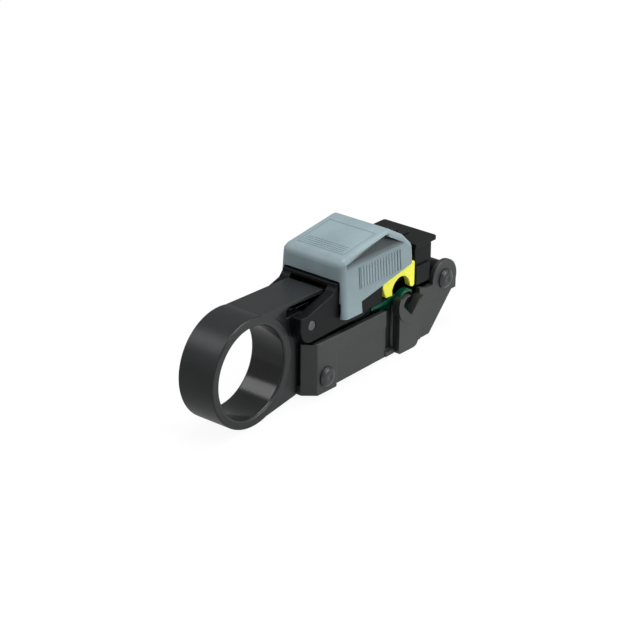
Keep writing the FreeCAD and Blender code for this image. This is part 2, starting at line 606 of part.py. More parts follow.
def jaw():
    """The hinged carrier: ears, side walls, front bar, rear box, top plate and ratchet teeth."""
    half = JAW_W / 2
    ear_in = RING_WIDTH / 2 + EAR_GAP
    wall_in = half - JAW_WALL
    upper_half = half - LEDGE_INSET
    plate_low = PLATE_TOP_Z - PLATE_T
    knuckle = rod(PIN_X, PIN_Z, EAR_KNUCKLE_R, ear_in, half)
    knuckle = knuckle.common(side_plate([(PIN_X - EAR_KNUCKLE_R, EAR_TOP_FRONT_Z), (EAR_KINK_X, EAR_KINK_Z),
                                         (EAR_TOP_REAR_X, EAR_TOP_REAR_Z), (EAR_TOP_REAR_X, 0),
                                         (PIN_X - EAR_KNUCKLE_R, 0)], ear_in, half))
    ear = side_plate(ear_outline(), ear_in, half).fuse(knuckle)
    wall = side_plate([(BAR_REAR_X - 1, JAW_BOTTOM_Z), (JAW_STEP_X, JAW_BOTTOM_Z),
                       (JAW_STEP_X + JAW_STEP_Z - JAW_BOTTOM_Z, JAW_STEP_Z), (GUIDE_GAP_FRONT_X, JAW_STEP_Z),
                       (GUIDE_GAP_FRONT_X, JAW_TOP_Z), (BAR_REAR_X - 1, JAW_TOP_Z)], wall_in, half)
    web_front = GUIDE_GAP_FRONT_X - RIB_T
    web = box(web_front, GUIDE_GAP_REAR_X + RIB_T, INNER_WEB_IN_Y, INNER_WEB_OUT_Y,
              INNER_WEB_BOTTOM_Z, plate_low)
    joint_front = box(web_front, GUIDE_GAP_FRONT_X, INNER_WEB_IN_Y, half, INNER_WEB_BOTTOM_Z, JAW_TOP_Z)
    rear_wall_in = INNER_WEB_IN_Y
    rear_side = box(GUIDE_GAP_REAR_X, JAW_REAR_X, rear_wall_in, half, JAW_STEP_Z, LEDGE_Z)
    upper_side = box(GUIDE_GAP_REAR_X, REAR_WALL_X, rear_wall_in, upper_half, LEDGE_Z - 1, plate_low + 0.5)
    sides = both_sides(ear.fuse([wall, web, joint_front, rear_side, upper_side]).removeSplitter())
    bar = box(BAR_FRONT_X, BAR_REAR_X, -half, half, JAW_TOP_Z - BAR_H, JAW_TOP_Z)
    bar = round_along_y(bar, [(BAR_FRONT_X, JAW_TOP_Z)], BAR_ROUND)
    across = rear_wall_in + 0.5
    rear_wall = side_plate([(JAW_REAR_X - REAR_WALL_T, JAW_BOTTOM_Z), (JAW_REAR_X, JAW_BOTTOM_Z),
                            (JAW_REAR_X, LEDGE_Z), (REAR_WALL_X, LEDGE_Z), (REAR_WALL_X, plate_low + 0.5),
                            (JAW_REAR_X - REAR_WALL_T, plate_low + 0.5)], -across, across)
    plate = box(PLATE_FRONT_X, PLATE_REAR_X, PLATE_INSET - half, half - PLATE_INSET, plate_low, PLATE_TOP_Z)
    corners = [edge for edge in plate.Edges
               if edge.BoundBox.XMin > PLATE_REAR_X - 1e-3 and edge.BoundBox.ZLength > 0.1]
    plate = plate.makeFillet(PLATE_CORNER_R, corners)
    rib_y = wall_in + JAW_WALL / 2
    spring_rib = box(SPRING_RIB_X, SPRING_RIB_X + RIB_T, -rib_y, rib_y, SPRING_RIB_Z, SPRING_RIB_Z + RIB_T)
    seat_rib = box(SEAT_RIB_X, SEAT_RIB_X + RIB_T, -rib_y, rib_y, SEAT_RIB_TOP_Z - SEAT_RIB_H, SEAT_RIB_TOP_Z)
    body = sides.fuse([bar, rear_wall, plate, spring_rib, seat_rib] + jaw_ratchet())
    # Springy latch tongue in the plate, with a slit on each side and a raised finger
    slit = box(PLATE_FRONT_X - 1, LATCH_X + LATCH_SLIT_LENGTH, LATCH_W / 2, LATCH_W / 2 + LATCH_SLIT,
               plate_low - 1, PLATE_TOP_Z + 1)
    latch_rear = LATCH_X + LATCH_T
    finger = side_plate([(LATCH_X, plate_low), (latch_rear, plate_low), (latch_rear, PLATE_TOP_Z),
                         (LATCH_X + LATCH_T * 0.5, PLATE_TOP_Z + LATCH_H), (LATCH_X, PLATE_TOP_Z + LATCH_H)],
                        -LATCH_W / 2, LATCH_W / 2)
    body = body.cut(both_sides(slit)).fuse(finger).removeSplitter()
    return body.cut(rod(PIN_X, PIN_Z, PIN_R + PIN_CLEAR, -half, half))


def ratchet_pawl():
    """The pawl on the rear rivet, whose nose drops behind the jaw's teeth."""
    hub = rod(REAR_RIVET_X, REAR_RIVET_Z, PAWL_HUB_R, -PAWL_HALF_Y, PAWL_HALF_Y)
    hub = hub.makeFillet(PAWL_HUB_ROUND, [edge for edge in hub.Edges if edge.Closed])
    nose_top = PAWL_NOSE_Z + PAWL_NOSE_ROOT_H
    nose = side_plate([(REAR_RIVET_X, PAWL_NOSE_Z), (PAWL_NOSE_X, PAWL_NOSE_Z),
                       (PAWL_NOSE_X, PAWL_NOSE_Z + PAWL_NOSE_H), (PAWL_NOSE_X + PAWL_NOSE_RAMP, nose_top),
                       (REAR_RIVET_X, nose_top)], -PAWL_NOSE_HALF_Y, PAWL_NOSE_HALF_Y)
    spring_room = rod(REAR_RIVET_X, REAR_RIVET_Z, SPRING_POCKET_R, -PAWL_SPRING_HALF_Y, PAWL_SPRING_HALF_Y)
    leg_room = box(REAR_RIVET_X - SPRING_POCKET_R, REAR_RIVET_X + SPRING_POCKET_R, -PAWL_SPRING_HALF_Y,
                   PAWL_SPRING_HALF_Y, REAR_RIVET_Z - 2 * PAWL_HUB_R, REAR_RIVET_Z)
    body = hub.fuse(nose).removeSplitter()
    body = body.cut(spring_room).cut(leg_room)
    return body.cut(rod(REAR_RIVET_X, REAR_RIVET_Z, RIVET_R + PIN_CLEAR, -PAWL_HALF_Y, PAWL_HALF_Y))


def torsion_spring(x, z, radius, wire, turns, rear_leg, down_leg):
    """A close-wound spring round a Y axis, with a leg to the rear off its top and a leg downward."""
    pitch = wire * 1.12
    length = pitch * (turns + 0.25)
    helix = Part.makeHelix(pitch, length, radius)
    section = Part.Wire(Part.makeCircle(wire / 2, Vector(radius, 0, 0), Vector(0, 1, 0)))
    coil = Part.Wire(helix.Edges).makePipeShell([section], True, True)
    coil.rotate(Vector(0, 0, 0), Vector(1, 0, 0), -90)
    coil.rotate(Vector(0, 0, 0), Vector(0, 1, 0), 180)
    coil.translate(Vector(0, -length / 2, 0))
    down = Part.makeCylinder(wire / 2, down_leg, Vector(-radius, -length / 2, 0), Vector(0, 0, -1))
    rear = Part.makeCylinder(wire / 2, rear_leg, Vector(0, length / 2, radius), Vector(1, 0, 0))
    spring = coil.fuse([down, rear]).removeSplitter()
    spring.translate(Vector(x, 0, z))
    return spring


def block_spring():
    """The compression spring between the shell floor and the cable block."""
    low = SADDLE_STRAP_TOP_Z + SPRING_FLOOR_H
    high = BLOCK_STEM_BOTTOM_Z
    wire = BLOCK_SPRING_WIRE
    height = high - low - wire - 2 * SPRING_SEAT_CLEAR
    helix = Part.makeHelix(height / BLOCK_SPRING_TURNS, height, BLOCK_SPRING_R)
    section = Part.Wire(Part.makeCircle(wire / 2, Vector(BLOCK_SPRING_R, 0, 0), Vector(0, 1, 0)))
    spring = Part.Wire(helix.Edges).makePipeShell([section], True, True)
    spring.translate(Vector(SADDLE_X, 0, low + wire / 2 + SPRING_SEAT_CLEAR))
    return spring


def cover_outline():
    """Side outline of the cassette cover, with sharp corners."""
    return [(COVER_FRONT_X, COVER_FRONT_Z), (COVER_FRONT_X, COVER_TOP_FRONT_Z), (COVER_PEAK_X, COVER_PEAK_Z),
            (COVER_FALL_X, COVER_FALL_Z), (COVER_REAR_X, COVER_KNEE_Z), (COVER_REAR_X, COVER_SKIRT_REAR_Z),
            (LEG_REAR_X, COVER_SKIRT_FRONT_Z), (LEG_REAR_X, LEG_BOTTOM_Z), (COVER_FRONT_X, LEG_BOTTOM_Z)]


def cover_top(x):
    """Height of the cover's top face between its front and its peak."""
    rise = (COVER_PEAK_Z - COVER_TOP_FRONT_Z) / (COVER_PEAK_X - COVER_FRONT_X)
    return COVER_TOP_FRONT_Z + rise * (x - COVER_FRONT_X)


def cover_half_width(z):
    """Half width of the cover, which widens towards its lower edge."""
    return COVER_HALF_W + COVER_DRAFT * (COVER_DRAFT_Z - z)


def cover_body():
    """The cover's outer form: the side outline trimmed by its drafted cross-section."""
    wide = cover_half_width(LEG_BOTTOM_Z - 1) + 1
    body = side_plate(cover_outline(), -wide, wide)
    rear_knee = (COVER_REAR_X, COVER_KNEE_Z)
    body = round_along_y(body, [(COVER_FRONT_X, COVER_TOP_FRONT_Z)], COVER_FRONT_R)
    body = round_along_y(body, [(COVER_PEAK_X, COVER_PEAK_Z)], COVER_PEAK_R)
    body = round_along_y(body, [(COVER_FALL_X, COVER_FALL_Z), rear_knee], COVER_REAR_R * 0.5)
    low = LEG_BOTTOM_Z - 1
    high = COVER_PEAK_Z + 2
    section = [Vector(0, -cover_half_width(low), low), Vector(0, cover_half_width(low), low),
               Vector(0, cover_half_width(high), high), Vector(0, -cover_half_width(high), high)]
    face = Part.Face(Part.makePolygon(section + section[:1]))
    trim = face.extrude(Vector(COVER_REAR_X + 1, 0, 0))
    return body.common(trim)


def round_cover_top(body):
    """Rounds the long edges between the cover's top and its sides."""
    chosen = []
    for edge in body.Edges:
        box_ = edge.BoundBox
        middle = edge.CenterOfMass
        if middle.z > COVER_FALL_Z - 4.5 and abs(middle.y) > COVER_HALF_W - 2 and box_.YLength < 1.2:
            if box_.XLength > 0.2 and not (box_.ZLength > 3 and box_.XLength < 1e-3):
                chosen.append(edge)
    return body.makeFillet(COVER_EDGE_R, chosen)


def cassette_cover():
    """The grey cover: a drafted shell with two front legs, side grips and screw pillars."""
    body = round_cover_top(cover_body())
    half = COVER_WALL_Y
    top_inner = [(COVER_FRONT_X + COVER_END_T, LEG_BOTTOM_Z - 1),
                 (COVER_FRONT_X + COVER_END_T, COVER_TOP_FRONT_Z - COVER_TOP_T),
                 (COVER_PEAK_X, COVER_PEAK_Z - COVER_TOP_T), (COVER_FALL_X - 1, COVER_FALL_Z - COVER_TOP_T),
                 (COVER_REAR_X - COVER_END_T, COVER_KNEE_Z - COVER_TOP_T),
                 (COVER_REAR_X - COVER_END_T, LEG_BOTTOM_Z - 1)]
    body = body.cut(side_plate(top_inner, -half, half))
    # The front wall stops above the jaw's bar and the rear wall above the holder
    body = body.cut(box(COVER_FRONT_X - 1, COVER_FRONT_X + COVER_END_T, -half, half, LEG_BOTTOM_Z - 1,
                        COVER_FRONT_Z))
    body = body.cut(box(COVER_REAR_X - COVER_END_T, COVER_REAR_X + 1, -half, half, LEG_BOTTOM_Z - 1,
                        PLATE_TOP_Z + EAR_GAP))
    pillars = []
    for x in SCREW_XS:
        top = cover_top(x) - COVER_TOP_T / 2
        low = HOLDER_PLATE_Z + HOLDER_PLATE_T
        pillars.append(Part.makeCylinder(PILLAR_R, top - low, Vector(x, 0, low)))
    body = body.fuse(pillars)
    for x in SCREW_XS:
        body = body.cut(Part.makeCylinder(SCREW_R, SCREW_LENGTH, Vector(x, 0, HOLDER_PLATE_Z)))
    # Triangular hollow and vertical grip grooves on each side
    wide = cover_half_width(LEG_BOTTOM_Z)
    floor_y = cover_half_width(TRIANGLE[0][1]) - TRIANGLE_DEPTH
    body = body.cut(both_sides(side_plate(TRIANGLE, floor_y, wide)))
    pitch = (RIB_REAR_X - RIB_FRONT_X) / (GRIP_RIB_COUNT - 1)
    groove_y = cover_half_width((RIB_BOTTOM_Z + RIB_TOP_Z) / 2) - GRIP_GROOVE_DEPTH
    for index in range(GRIP_RIB_COUNT):
        x = RIB_FRONT_X + index * pitch
        groove = box(x, x + GRIP_GROOVE_W, groove_y, wide, RIB_BOTTOM_Z, RIB_TOP_Z)
        body = body.cut(both_sides(groove))
    step = box(COVER_FRONT_X - 1, COVER_FRONT_X + LEG_STEP, 0, COVER_WALL_Y + LEG_STEP, LEG_BOTTOM_Z - 1,
               LEG_STEP_Z)
    return body.cut(both_sides(step))


def blade_positions():
    """Y position and tip height of each blade."""
    middle = (len(BLADE_TIPS) - 1) / 2
    return [((index - middle) * BLADE_SPACING, tip) for index, tip in enumerate(BLADE_TIPS)]


def blade_holder():
    """The holder under the cover, with a slot for each blade."""
    plate = box(HOLDER_FRONT_X, HOLDER_NECK_X, -HOLDER_HALF_W, HOLDER_HALF_W, HOLDER_PLATE_Z,
                HOLDER_PLATE_Z + HOLDER_PLATE_T)
    neck = box(HOLDER_NECK_X, HEAD_FRONT_X, -HOLDER_NECK_HALF_W, HOLDER_NECK_HALF_W, HOLDER_PLATE_Z,
               HOLDER_PLATE_Z + HOLDER_PLATE_T)
    head = box(HEAD_FRONT_X, HOLDER_REAR_X, -HOLDER_NECK_HALF_W, HOLDER_NECK_HALF_W,
               HEAD_BOTTOM_Z, HEAD_TOP_Z)
    body = plate.fuse([neck, head]).removeSplitter()
    for y, tip in blade_positions():
        gap = BLADE_T / 2 + BLADE_SLOT_CLEAR
        slot_half = BLADE_W / 2 + BLADE_SLOT_CLEAR
        body = body.cut(box(SADDLE_X - slot_half, SADDLE_X + slot_half, y - gap, y + gap, HEAD_BOTTOM_Z - 1,
                            BLADE_TOP_Z + BLADE_SLOT_CLEAR))
    for x in TIE_XS:
        body = body.cut(rod(x, TIE_Z, TIE_R, -HOLDER_NECK_HALF_W, HOLDER_NECK_HALF_W))
        body = body.cut(rod(x, TIE_Z, TIE_HEAD_R, -HOLDER_NECK_HALF_W, TIE_HEAD_H - HOLDER_NECK_HALF_W))
    for x in SCREW_XS:
        body = body.cut(Part.makeCylinder(SCREW_R, HOLDER_PLATE_T, Vector(x, 0, HOLDER_PLATE_Z)))
    return body


def blade(y, tip):
    """A flat blade with a ground point towards the cable."""
    half = BLADE_W / 2
    point = BLADE_POINT_HALF_X
    rise = tip + BLADE_BEVEL
    plate = side_plate([(SADDLE_X - half, BLADE_TOP_Z), (SADDLE_X - half, rise), (SADDLE_X - point, tip),
                        (SADDLE_X + point, tip), (SADDLE_X + half, rise), (SADDLE_X + half, BLADE_TOP_Z)],
                       y - BLADE_T / 2, y + BLADE_T / 2)
    for x in TIE_XS:
        plate = plate.cut(rod(x, TIE_Z, TIE_R, y - BLADE_T, y + BLADE_T))
    return plate


def tie_screws():
    """The two cross screws that clamp the blades in the holder."""
    screws = []
    for x in TIE_XS:
        shank = rod(x, TIE_Z, TIE_R, -HOLDER_NECK_HALF_W, HOLDER_NECK_HALF_W)
        head = rod(x, TIE_Z, TIE_HEAD_R, -HOLDER_NECK_HALF_W, TIE_HEAD_H - HOLDER_NECK_HALF_W)
        slot = box(x - DRIVER_SLOT / 2, x + DRIVER_SLOT / 2, -HOLDER_NECK_HALF_W,
                   DRIVER_SLOT - HOLDER_NECK_HALF_W, TIE_Z - TIE_HEAD_R, TIE_Z + TIE_HEAD_R)
        screws.append(shank.fuse(head).removeSplitter().cut(slot))
    return Part.makeCompound(screws)


def cover_screws():
    """The two screws that hold the blade holder up to the cover's pillars."""
    screws = []
    for x in SCREW_XS:
        shank = Part.makeCylinder(SCREW_R, SCREW_LENGTH - 0.5, Vector(x, 0, HOLDER_PLATE_Z))
        low = HOLDER_PLATE_Z - SCREW_HEAD_H
        head = Part.makeCylinder(SCREW_HEAD_R, SCREW_HEAD_H, Vector(x, 0, low))
        slot = box(x - SCREW_HEAD_R, x + SCREW_HEAD_R, -DRIVER_SLOT / 2, DRIVER_SLOT / 2,
                   low, low + DRIVER_SLOT)
        screws.append(shank.fuse(head).removeSplitter().cut(slot))
    return Part.makeCompound(screws)


def cable_guide():
    """The yellow guide plate on the near side, with its arch over the cable."""
    y0 = -GUIDE_OUT_Y
    y1 = GUIDE_T - GUIDE_OUT_Y
    inside_x = COVER_REAR_X - COVER_END_T - EAR_GAP
    skirt_z = COVER_SKIRT_REAR_Z - GUIDE_SKIRT_LAP
    rear_foot_x = GUIDE_REAR_X - GUIDE_REAR_FOOT_W
    rear_foot_z = GUIDE_REAR_FOOT_Z - GUIDE_REAR_FOOT_DROP
    plate = side_plate([(GUIDE_FOOT_FRONT_X, GUIDE_FOOT_Z), (GUIDE_FRONT_X, GUIDE_SLOPE_FRONT_Z),
                        (GUIDE_FRONT_X, GUIDE_TOP_Z), (inside_x, GUIDE_TOP_Z), (inside_x, skirt_z),
                        (GUIDE_REAR_X, skirt_z - GUIDE_SKIRT_LAP), (GUIDE_REAR_X, rear_foot_z),
                        (rear_foot_x, rear_foot_z), (GUIDE_REAR_FOOT_X, GUIDE_REAR_FOOT_Z),
                        (GUIDE_ARCH_X - GUIDE_ARCH_R, GUIDE_FOOT_Z)], y0, y1)
    arch = rod(GUIDE_ARCH_X, GUIDE_ARCH_Z, GUIDE_ARCH_R, y0, y1)
    feet = [(GUIDE_FOOT_FRONT_X, GUIDE_FOOT_Z), (GUIDE_REAR_X, rear_foot_z)]
    plate = round_along_y(plate, feet, GUIDE_FOOT_R)
    return plate.cut(arch)


def save(name, shape):
    """Writes one node and says what it holds."""
    solids = shape.Solids
    print(name, "solids", len(solids), "valid", shape.isValid(), "volume", round(shape.Volume, 2))
    shape.exportStep("parts/" + name + ".step")


os.makedirs("parts", exist_ok=True)
save("ring_frame", ring_frame())
save("lower_shell", lower_shell())
save("front_rivet", rivet(FRONT_RIVET_X, FRONT_RIVET_Z))
save("rear_rivet", rivet(REAR_RIVET_X, REAR_RIVET_Z))
save("pivot_pin", pivot_pin())
save("saddle_clip", saddle_clip())
save("cable_block", cable_block())
save("block_spring", block_spring())
save("jaw", jaw())
save("jaw_spring", torsion_spring(PIN_X, PIN_Z, JAW_SPRING_R, JAW_SPRING_WIRE,
                                  JAW_SPRING_TURNS, JAW_SPRING_REACH, JAW_SPRING_DROP))
save("ratchet_pawl", ratchet_pawl())
save("pawl_spring", torsion_spring(REAR_RIVET_X, REAR_RIVET_Z, PAWL_SPRING_R, PAWL_SPRING_WIRE,
                                   PAWL_SPRING_TURNS, PAWL_SPRING_REACH, PAWL_SPRING_DROP))
save("cassette_cover", cassette_cover())
save("blade_holder", blade_holder())
for number, (y, tip) in enumerate(blade_positions(), 1):
    save("blade_%d" % number, blade(y, tip))
save("tie_screws", tie_screws())
save("cover_screws", cover_screws())
near_guide = cable_guide()
save("cable_guide_near", near_guide)
save("cable_guide_far", near_guide.mirror(Vector(0, 0, 0), Vector(0, 1, 0)))
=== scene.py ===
"""Dresses the coaxial cable stripper: added forms, rounded moulded edges, finishes, studio and camera."""

import logging
import math
from dataclasses import dataclass, field
from enum import Enum

import bmesh
import bpy
from mathutils import Matrix, Vector


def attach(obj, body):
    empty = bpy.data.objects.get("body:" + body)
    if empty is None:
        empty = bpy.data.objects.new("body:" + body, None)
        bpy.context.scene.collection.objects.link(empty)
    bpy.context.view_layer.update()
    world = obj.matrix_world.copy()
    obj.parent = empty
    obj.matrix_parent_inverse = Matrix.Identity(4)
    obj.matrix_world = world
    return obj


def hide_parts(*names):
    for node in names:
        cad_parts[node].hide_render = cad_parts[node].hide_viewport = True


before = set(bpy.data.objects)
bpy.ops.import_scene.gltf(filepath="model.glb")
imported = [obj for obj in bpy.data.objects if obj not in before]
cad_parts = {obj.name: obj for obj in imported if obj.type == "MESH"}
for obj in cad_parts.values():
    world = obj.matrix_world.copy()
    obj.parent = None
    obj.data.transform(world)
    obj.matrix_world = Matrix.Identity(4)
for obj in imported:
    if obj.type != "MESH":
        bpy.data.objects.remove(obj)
LOG = logging.getLogger("cable_stripper")
MM = 0.001
WHITE = (1.0, 1.0, 1.0, 1.0)
NOISE_SPAN = (0.3, 0.7)
EDGE_MARK = "rounded_edge"
# The faces that get the painted shade of the cover's side hollow.
PAINTED_SHADE_MARK = "painted_recess_shade"
FAR_SIDE = (1.0,)
BOTH_SIDES = (-1.0, 1.0)
Span = tuple[float, float]
Triple = tuple[float, float, float]
Colour = Triple
Outline = tuple[Span, ...]
Socket = bpy.types.NodeSocket


class Body(Enum):
    """The moving groups of the tool, by their names in the frame."""

    FRAME = "frame"
    JAW = "jaw_body"
    CASSETTE = "cassette"
    BLOCK = "block_body"
    PAWL = "pawl_body"


class Slot(Enum):
    """The record's material slots."""

    BLACK = "black_plastic"
    GREY = "grey_plastic"
    YELLOW = "yellow_plastic"
    GREEN = "green_plastic"
    HOLDER = "holder_plastic"
    STEEL = "bright_steel"
    RIVET = "dark_steel"


@dataclass(frozen=True)
class Pattern:
    """A noise pattern: bumps per metre, octaves, strength of the finer ones and scale along each axis."""

    per_m: float
    detail: float
    roughness: float = 0.5
    stretch: Triple = (1.0, 1.0, 1.0)


class ShaderSheet:
    """A small helper that lays out one material's nodes."""

    def __init__(self, name: str) -> None:
        """Starts an empty node material with its output and its main shader.

        Args:
            name: The material's name.
        """
        self.material = bpy.data.materials.new(name)
        self.material.use_nodes = True
        self.tree = self.material.node_tree
        self.tree.nodes.clear()
        self.output = self.tree.nodes.new("ShaderNodeOutputMaterial")
        self.shader = self.tree.nodes.new("ShaderNodeBsdfPrincipled")
        self.link(self.shader.outputs["BSDF"], self.output.inputs["Surface"])
        self.place = self.tree.nodes.new("ShaderNodeTexCoord").outputs["Object"]

    def link(self, source: Socket, target: Socket) -> None:
        """Joins two sockets."""
        self.tree.links.new(source, target)

    def noise(self, pattern: Pattern) -> Socket:
        """Adds a noise pattern in object coordinates.

        Args:
            pattern: The pattern's sizes.

        Returns:
            The noise value's socket.
        """
        mapping = self.tree.nodes.new("ShaderNodeMapping")
        mapping.inputs["Scale"].default_value = pattern.stretch
        self.link(self.place, mapping.inputs["Vector"])
        node = self.tree.nodes.new("ShaderNodeTexNoise")
        node.inputs["Scale"].default_value = pattern.per_m
        node.inputs["Detail"].default_value = pattern.detail
        node.inputs["Roughness"].default_value = pattern.roughness
        self.link(mapping.outputs["Vector"], node.inputs["Vector"])
        return node.outputs["Fac"]

    def marked(self, name: str) -> Socket:
        """Reads an attribute that marks some of a piece's faces.

        Args:
            name: The attribute's name.

        Returns:
            A value that is 1 on the marked faces.
        """
        node = self.tree.nodes.new("ShaderNodeAttribute")
        node.attribute_name = name
        return node.outputs["Fac"]

    def along(self, axis: str) -> Socket:
        """Reads one object coordinate.

        Args:
            axis: X, Y or Z.

        Returns:
            The coordinate's socket, in metres.
        """
        split = self.tree.nodes.new("ShaderNodeSeparateXYZ")
        self.link(self.place, split.inputs["Vector"])
        return split.outputs[axis]

    def span(self, value: Socket, low: float, high: float, to_low: float, to_high: float) -> Socket:
        """Maps a value from one range to another.

        Args:
            value: The socket to map.
            low: Value that gives to_low.
            high: Value that gives to_high.
            to_low: Result at the low end.
            to_high: Result at the high end.

        Returns:
            The mapped value's socket.
        """
        node = self.tree.nodes.new("ShaderNodeMapRange")
        node.inputs["From Min"].default_value = low
        node.inputs["From Max"].default_value = high
        node.inputs["To Min"].default_value = to_low
        node.inputs["To Max"].default_value = to_high
        self.link(value, node.inputs["Value"])
        return node.outputs["Result"]

    def worked(self, operation: str, *values: Socket | float) -> Socket:
        """Works out a product, a sum or the like.

        Args:
            operation: The operation's name in Blender.
            values: Its inputs in order, as sockets or plain numbers.

        Returns:
            The result's socket.
        """
        node = self.tree.nodes.new("ShaderNodeMath")
        node.operation = operation
        for target, value in zip(node.inputs, values):
            if isinstance(value, Socket):
                self.link(value, target)
            else:
                target.default_value = value
        return node.outputs["Value"]

    def blend(self, factor: Socket, first: Colour | Socket, second: Colour | Socket) -> Socket:
        """Blends two colours by a factor.

        Args:
            factor: 0 gives the first colour, 1 the second.
            first: A colour or a colour socket.
            second: A colour or a colour socket.

        Returns:
            The blended colour's socket.
        """
        node = self.tree.nodes.new("ShaderNodeMix")
        node.data_type = "RGBA"
        self.link(factor, node.inputs["Factor"])
        for name, value in (("A", first), ("B", second)):
            socket = next(s for s in node.inputs if s.name == name and s.type == "RGBA")
            if isinstance(value, Socket):
                self.link(value, socket)
            else:
                socket.default_value = (*value, 1.0)
        return next(s for s in node.outputs if s.type == "RGBA")

    def bump(self, height: Socket, depth_mm: float, strength: float, under: Socket | None = None) -> Socket:
        """Turns a height into a bumped normal.

        Args:
            height: The height's socket, 0 to 1.
            depth_mm: How deep the pattern is.
            strength: How much of it shows.
            under: A bumped normal that this one lies on.

        Returns:
            The normal's socket.
        """
        node = self.tree.nodes.new("ShaderNodeBump")
        node.inputs["Distance"].default_value = depth_mm * MM
        node.inputs["Strength"].default_value = strength
        self.link(height, node.inputs["Height"])
        if under is not None:
            self.link(under, node.inputs["Normal"])
        return node.outputs["Normal"]


@dataclass(frozen=True)
class MouldedPlastic:
    """Injection-moulded plastic: fine spark-eroded grain, faint flow marks, paler worn edges and, where
    given, painted shade in a hollow.
    """

    name: str
    colour: Colour
    worn: Colour
    roughness: float = 0.42
    roughness_spread: float = 0.08
    grain_mm: float = 0.012
    grain_strength: float = 0.5
    specular: float = 0.5
    edge_wear: float = 0.5
    least_wear: float = 0.15
    painted_recess_shade: Colour | None = None
    painted_shade_heights_mm: Span = (22.0, 23.6)
    painted_shade_shares: Span = (0.45, 1.0)
    flow: Pattern = Pattern(38.0, 4.0, 0.55, (1.0, 1.6, 1.6))
    flow_shade: float = 0.86
    flow_bright: float = 1.12
    speck: Pattern = Pattern(2600.0, 2.0)
    chips: Pattern = Pattern(420.0, 5.0, 0.65)
    chips_span: Span = (0.42, 0.66)
    grain: Pattern = Pattern(5200.0, 2.0, 0.6)
    wave: Pattern = Pattern(160.0, 2.0)
    wave_mm: float = 0.03
    wave_strength: float = 0.12

    def coloured(self, sheet: ShaderSheet) -> Socket:
        """Lays out the colour: flow marks, worn edges and, where there is one, the painted shade in a
        hollow.

        Args:
            sheet: The material's sheet.

        Returns:
            The colour's socket.
        """
        shade = tuple(c * self.flow_shade for c in self.colour)
        bright = tuple(min(1.0, c * self.flow_bright) for c in self.colour)
        body = sheet.blend(sheet.span(sheet.noise(self.flow), *NOISE_SPAN, 0.0, 1.0), shade, bright)
        chipped = sheet.span(sheet.noise(self.chips), *self.chips_span, self.least_wear, self.edge_wear)
        colour = sheet.blend(sheet.worked("MULTIPLY", sheet.marked(EDGE_MARK), chipped), body, self.worn)
        if self.painted_recess_shade is None:
            return colour
        # Painted shade: the marked hollow faces blend towards the dark colour, more strongly towards the
        # hollow's top.
        low, high = (height * MM for height in self.painted_shade_heights_mm)
        share = sheet.span(sheet.along("Z"), low, high, *self.painted_shade_shares)
        return sheet.blend(sheet.worked("MULTIPLY", sheet.marked(PAINTED_SHADE_MARK), share), colour, self.painted_recess_shade)

    def make(self) -> bpy.types.Material:
        """Builds the material.

        Returns:
            The finished material.
        """
        sheet = ShaderSheet(self.name)
        sheet.link(self.coloured(sheet), sheet.shader.inputs["Base Color"])
        half = self.roughness_spread / 2
        speck = sheet.noise(self.speck)
        rough = sheet.span(speck, *NOISE_SPAN, self.roughness - half, self.roughness + half)
        sheet.link(rough, sheet.shader.inputs["Roughness"])
        sheet.shader.inputs["Specular IOR Level"].default_value = self.specular
        normal = sheet.bump(sheet.noise(self.wave), self.wave_mm, self.wave_strength)
        normal = sheet.bump(sheet.noise(self.grain), self.grain_mm, self.grain_strength, normal)
        sheet.link(normal, sheet.shader.inputs["Normal"])
        return sheet.material


@dataclass(frozen=True)
class TurnedSteel:
    """Steel with fine drawn lines, faint stains and a slight variation of its polish."""

    name: str
    colour: Colour
    roughness: float = 0.28
    metallic: float = 1.0
    lines: Pattern = Pattern(900.0, 4.0, 0.6, (1.0, 22.0, 1.0))
    line_mm: float = 0.004
    line_strength: float = 0.35
    polish: Span = (0.8, 1.25)
    stain: Pattern = Pattern(190.0, 4.0, 0.6)
    stain_shade: float = 0.72
    worn_gain: float = 1.35
    worn_lift: float = 0.01
    worn_share: float = 0.5

    def make(self) -> bpy.types.Material:
        """Builds the material.

        Returns:
            The finished material.
        """
        sheet = ShaderSheet(self.name)
        lines = sheet.noise(self.lines)
        dark = tuple(c * self.stain_shade for c in self.colour)
        body = sheet.blend(sheet.span(sheet.noise(self.stain), *NOISE_SPAN, 0.0, 1.0), dark, self.colour)
        worn = tuple(min(1.0, c * self.worn_gain + self.worn_lift) for c in self.colour)
        wear = sheet.span(sheet.marked(EDGE_MARK), 0.0, 1.0, 0.0, self.worn_share)
        sheet.link(sheet.blend(wear, body, worn), sheet.shader.inputs["Base Color"])
        sheet.shader.inputs["Metallic"].default_value = self.metallic
        rough = sheet.span(lines, *NOISE_SPAN, *(self.roughness * share for share in self.polish))
        sheet.link(rough, sheet.shader.inputs["Roughness"])
        sheet.link(sheet.bump(lines, self.line_mm, self.line_strength), sheet.shader.inputs["Normal"])
        return sheet.material


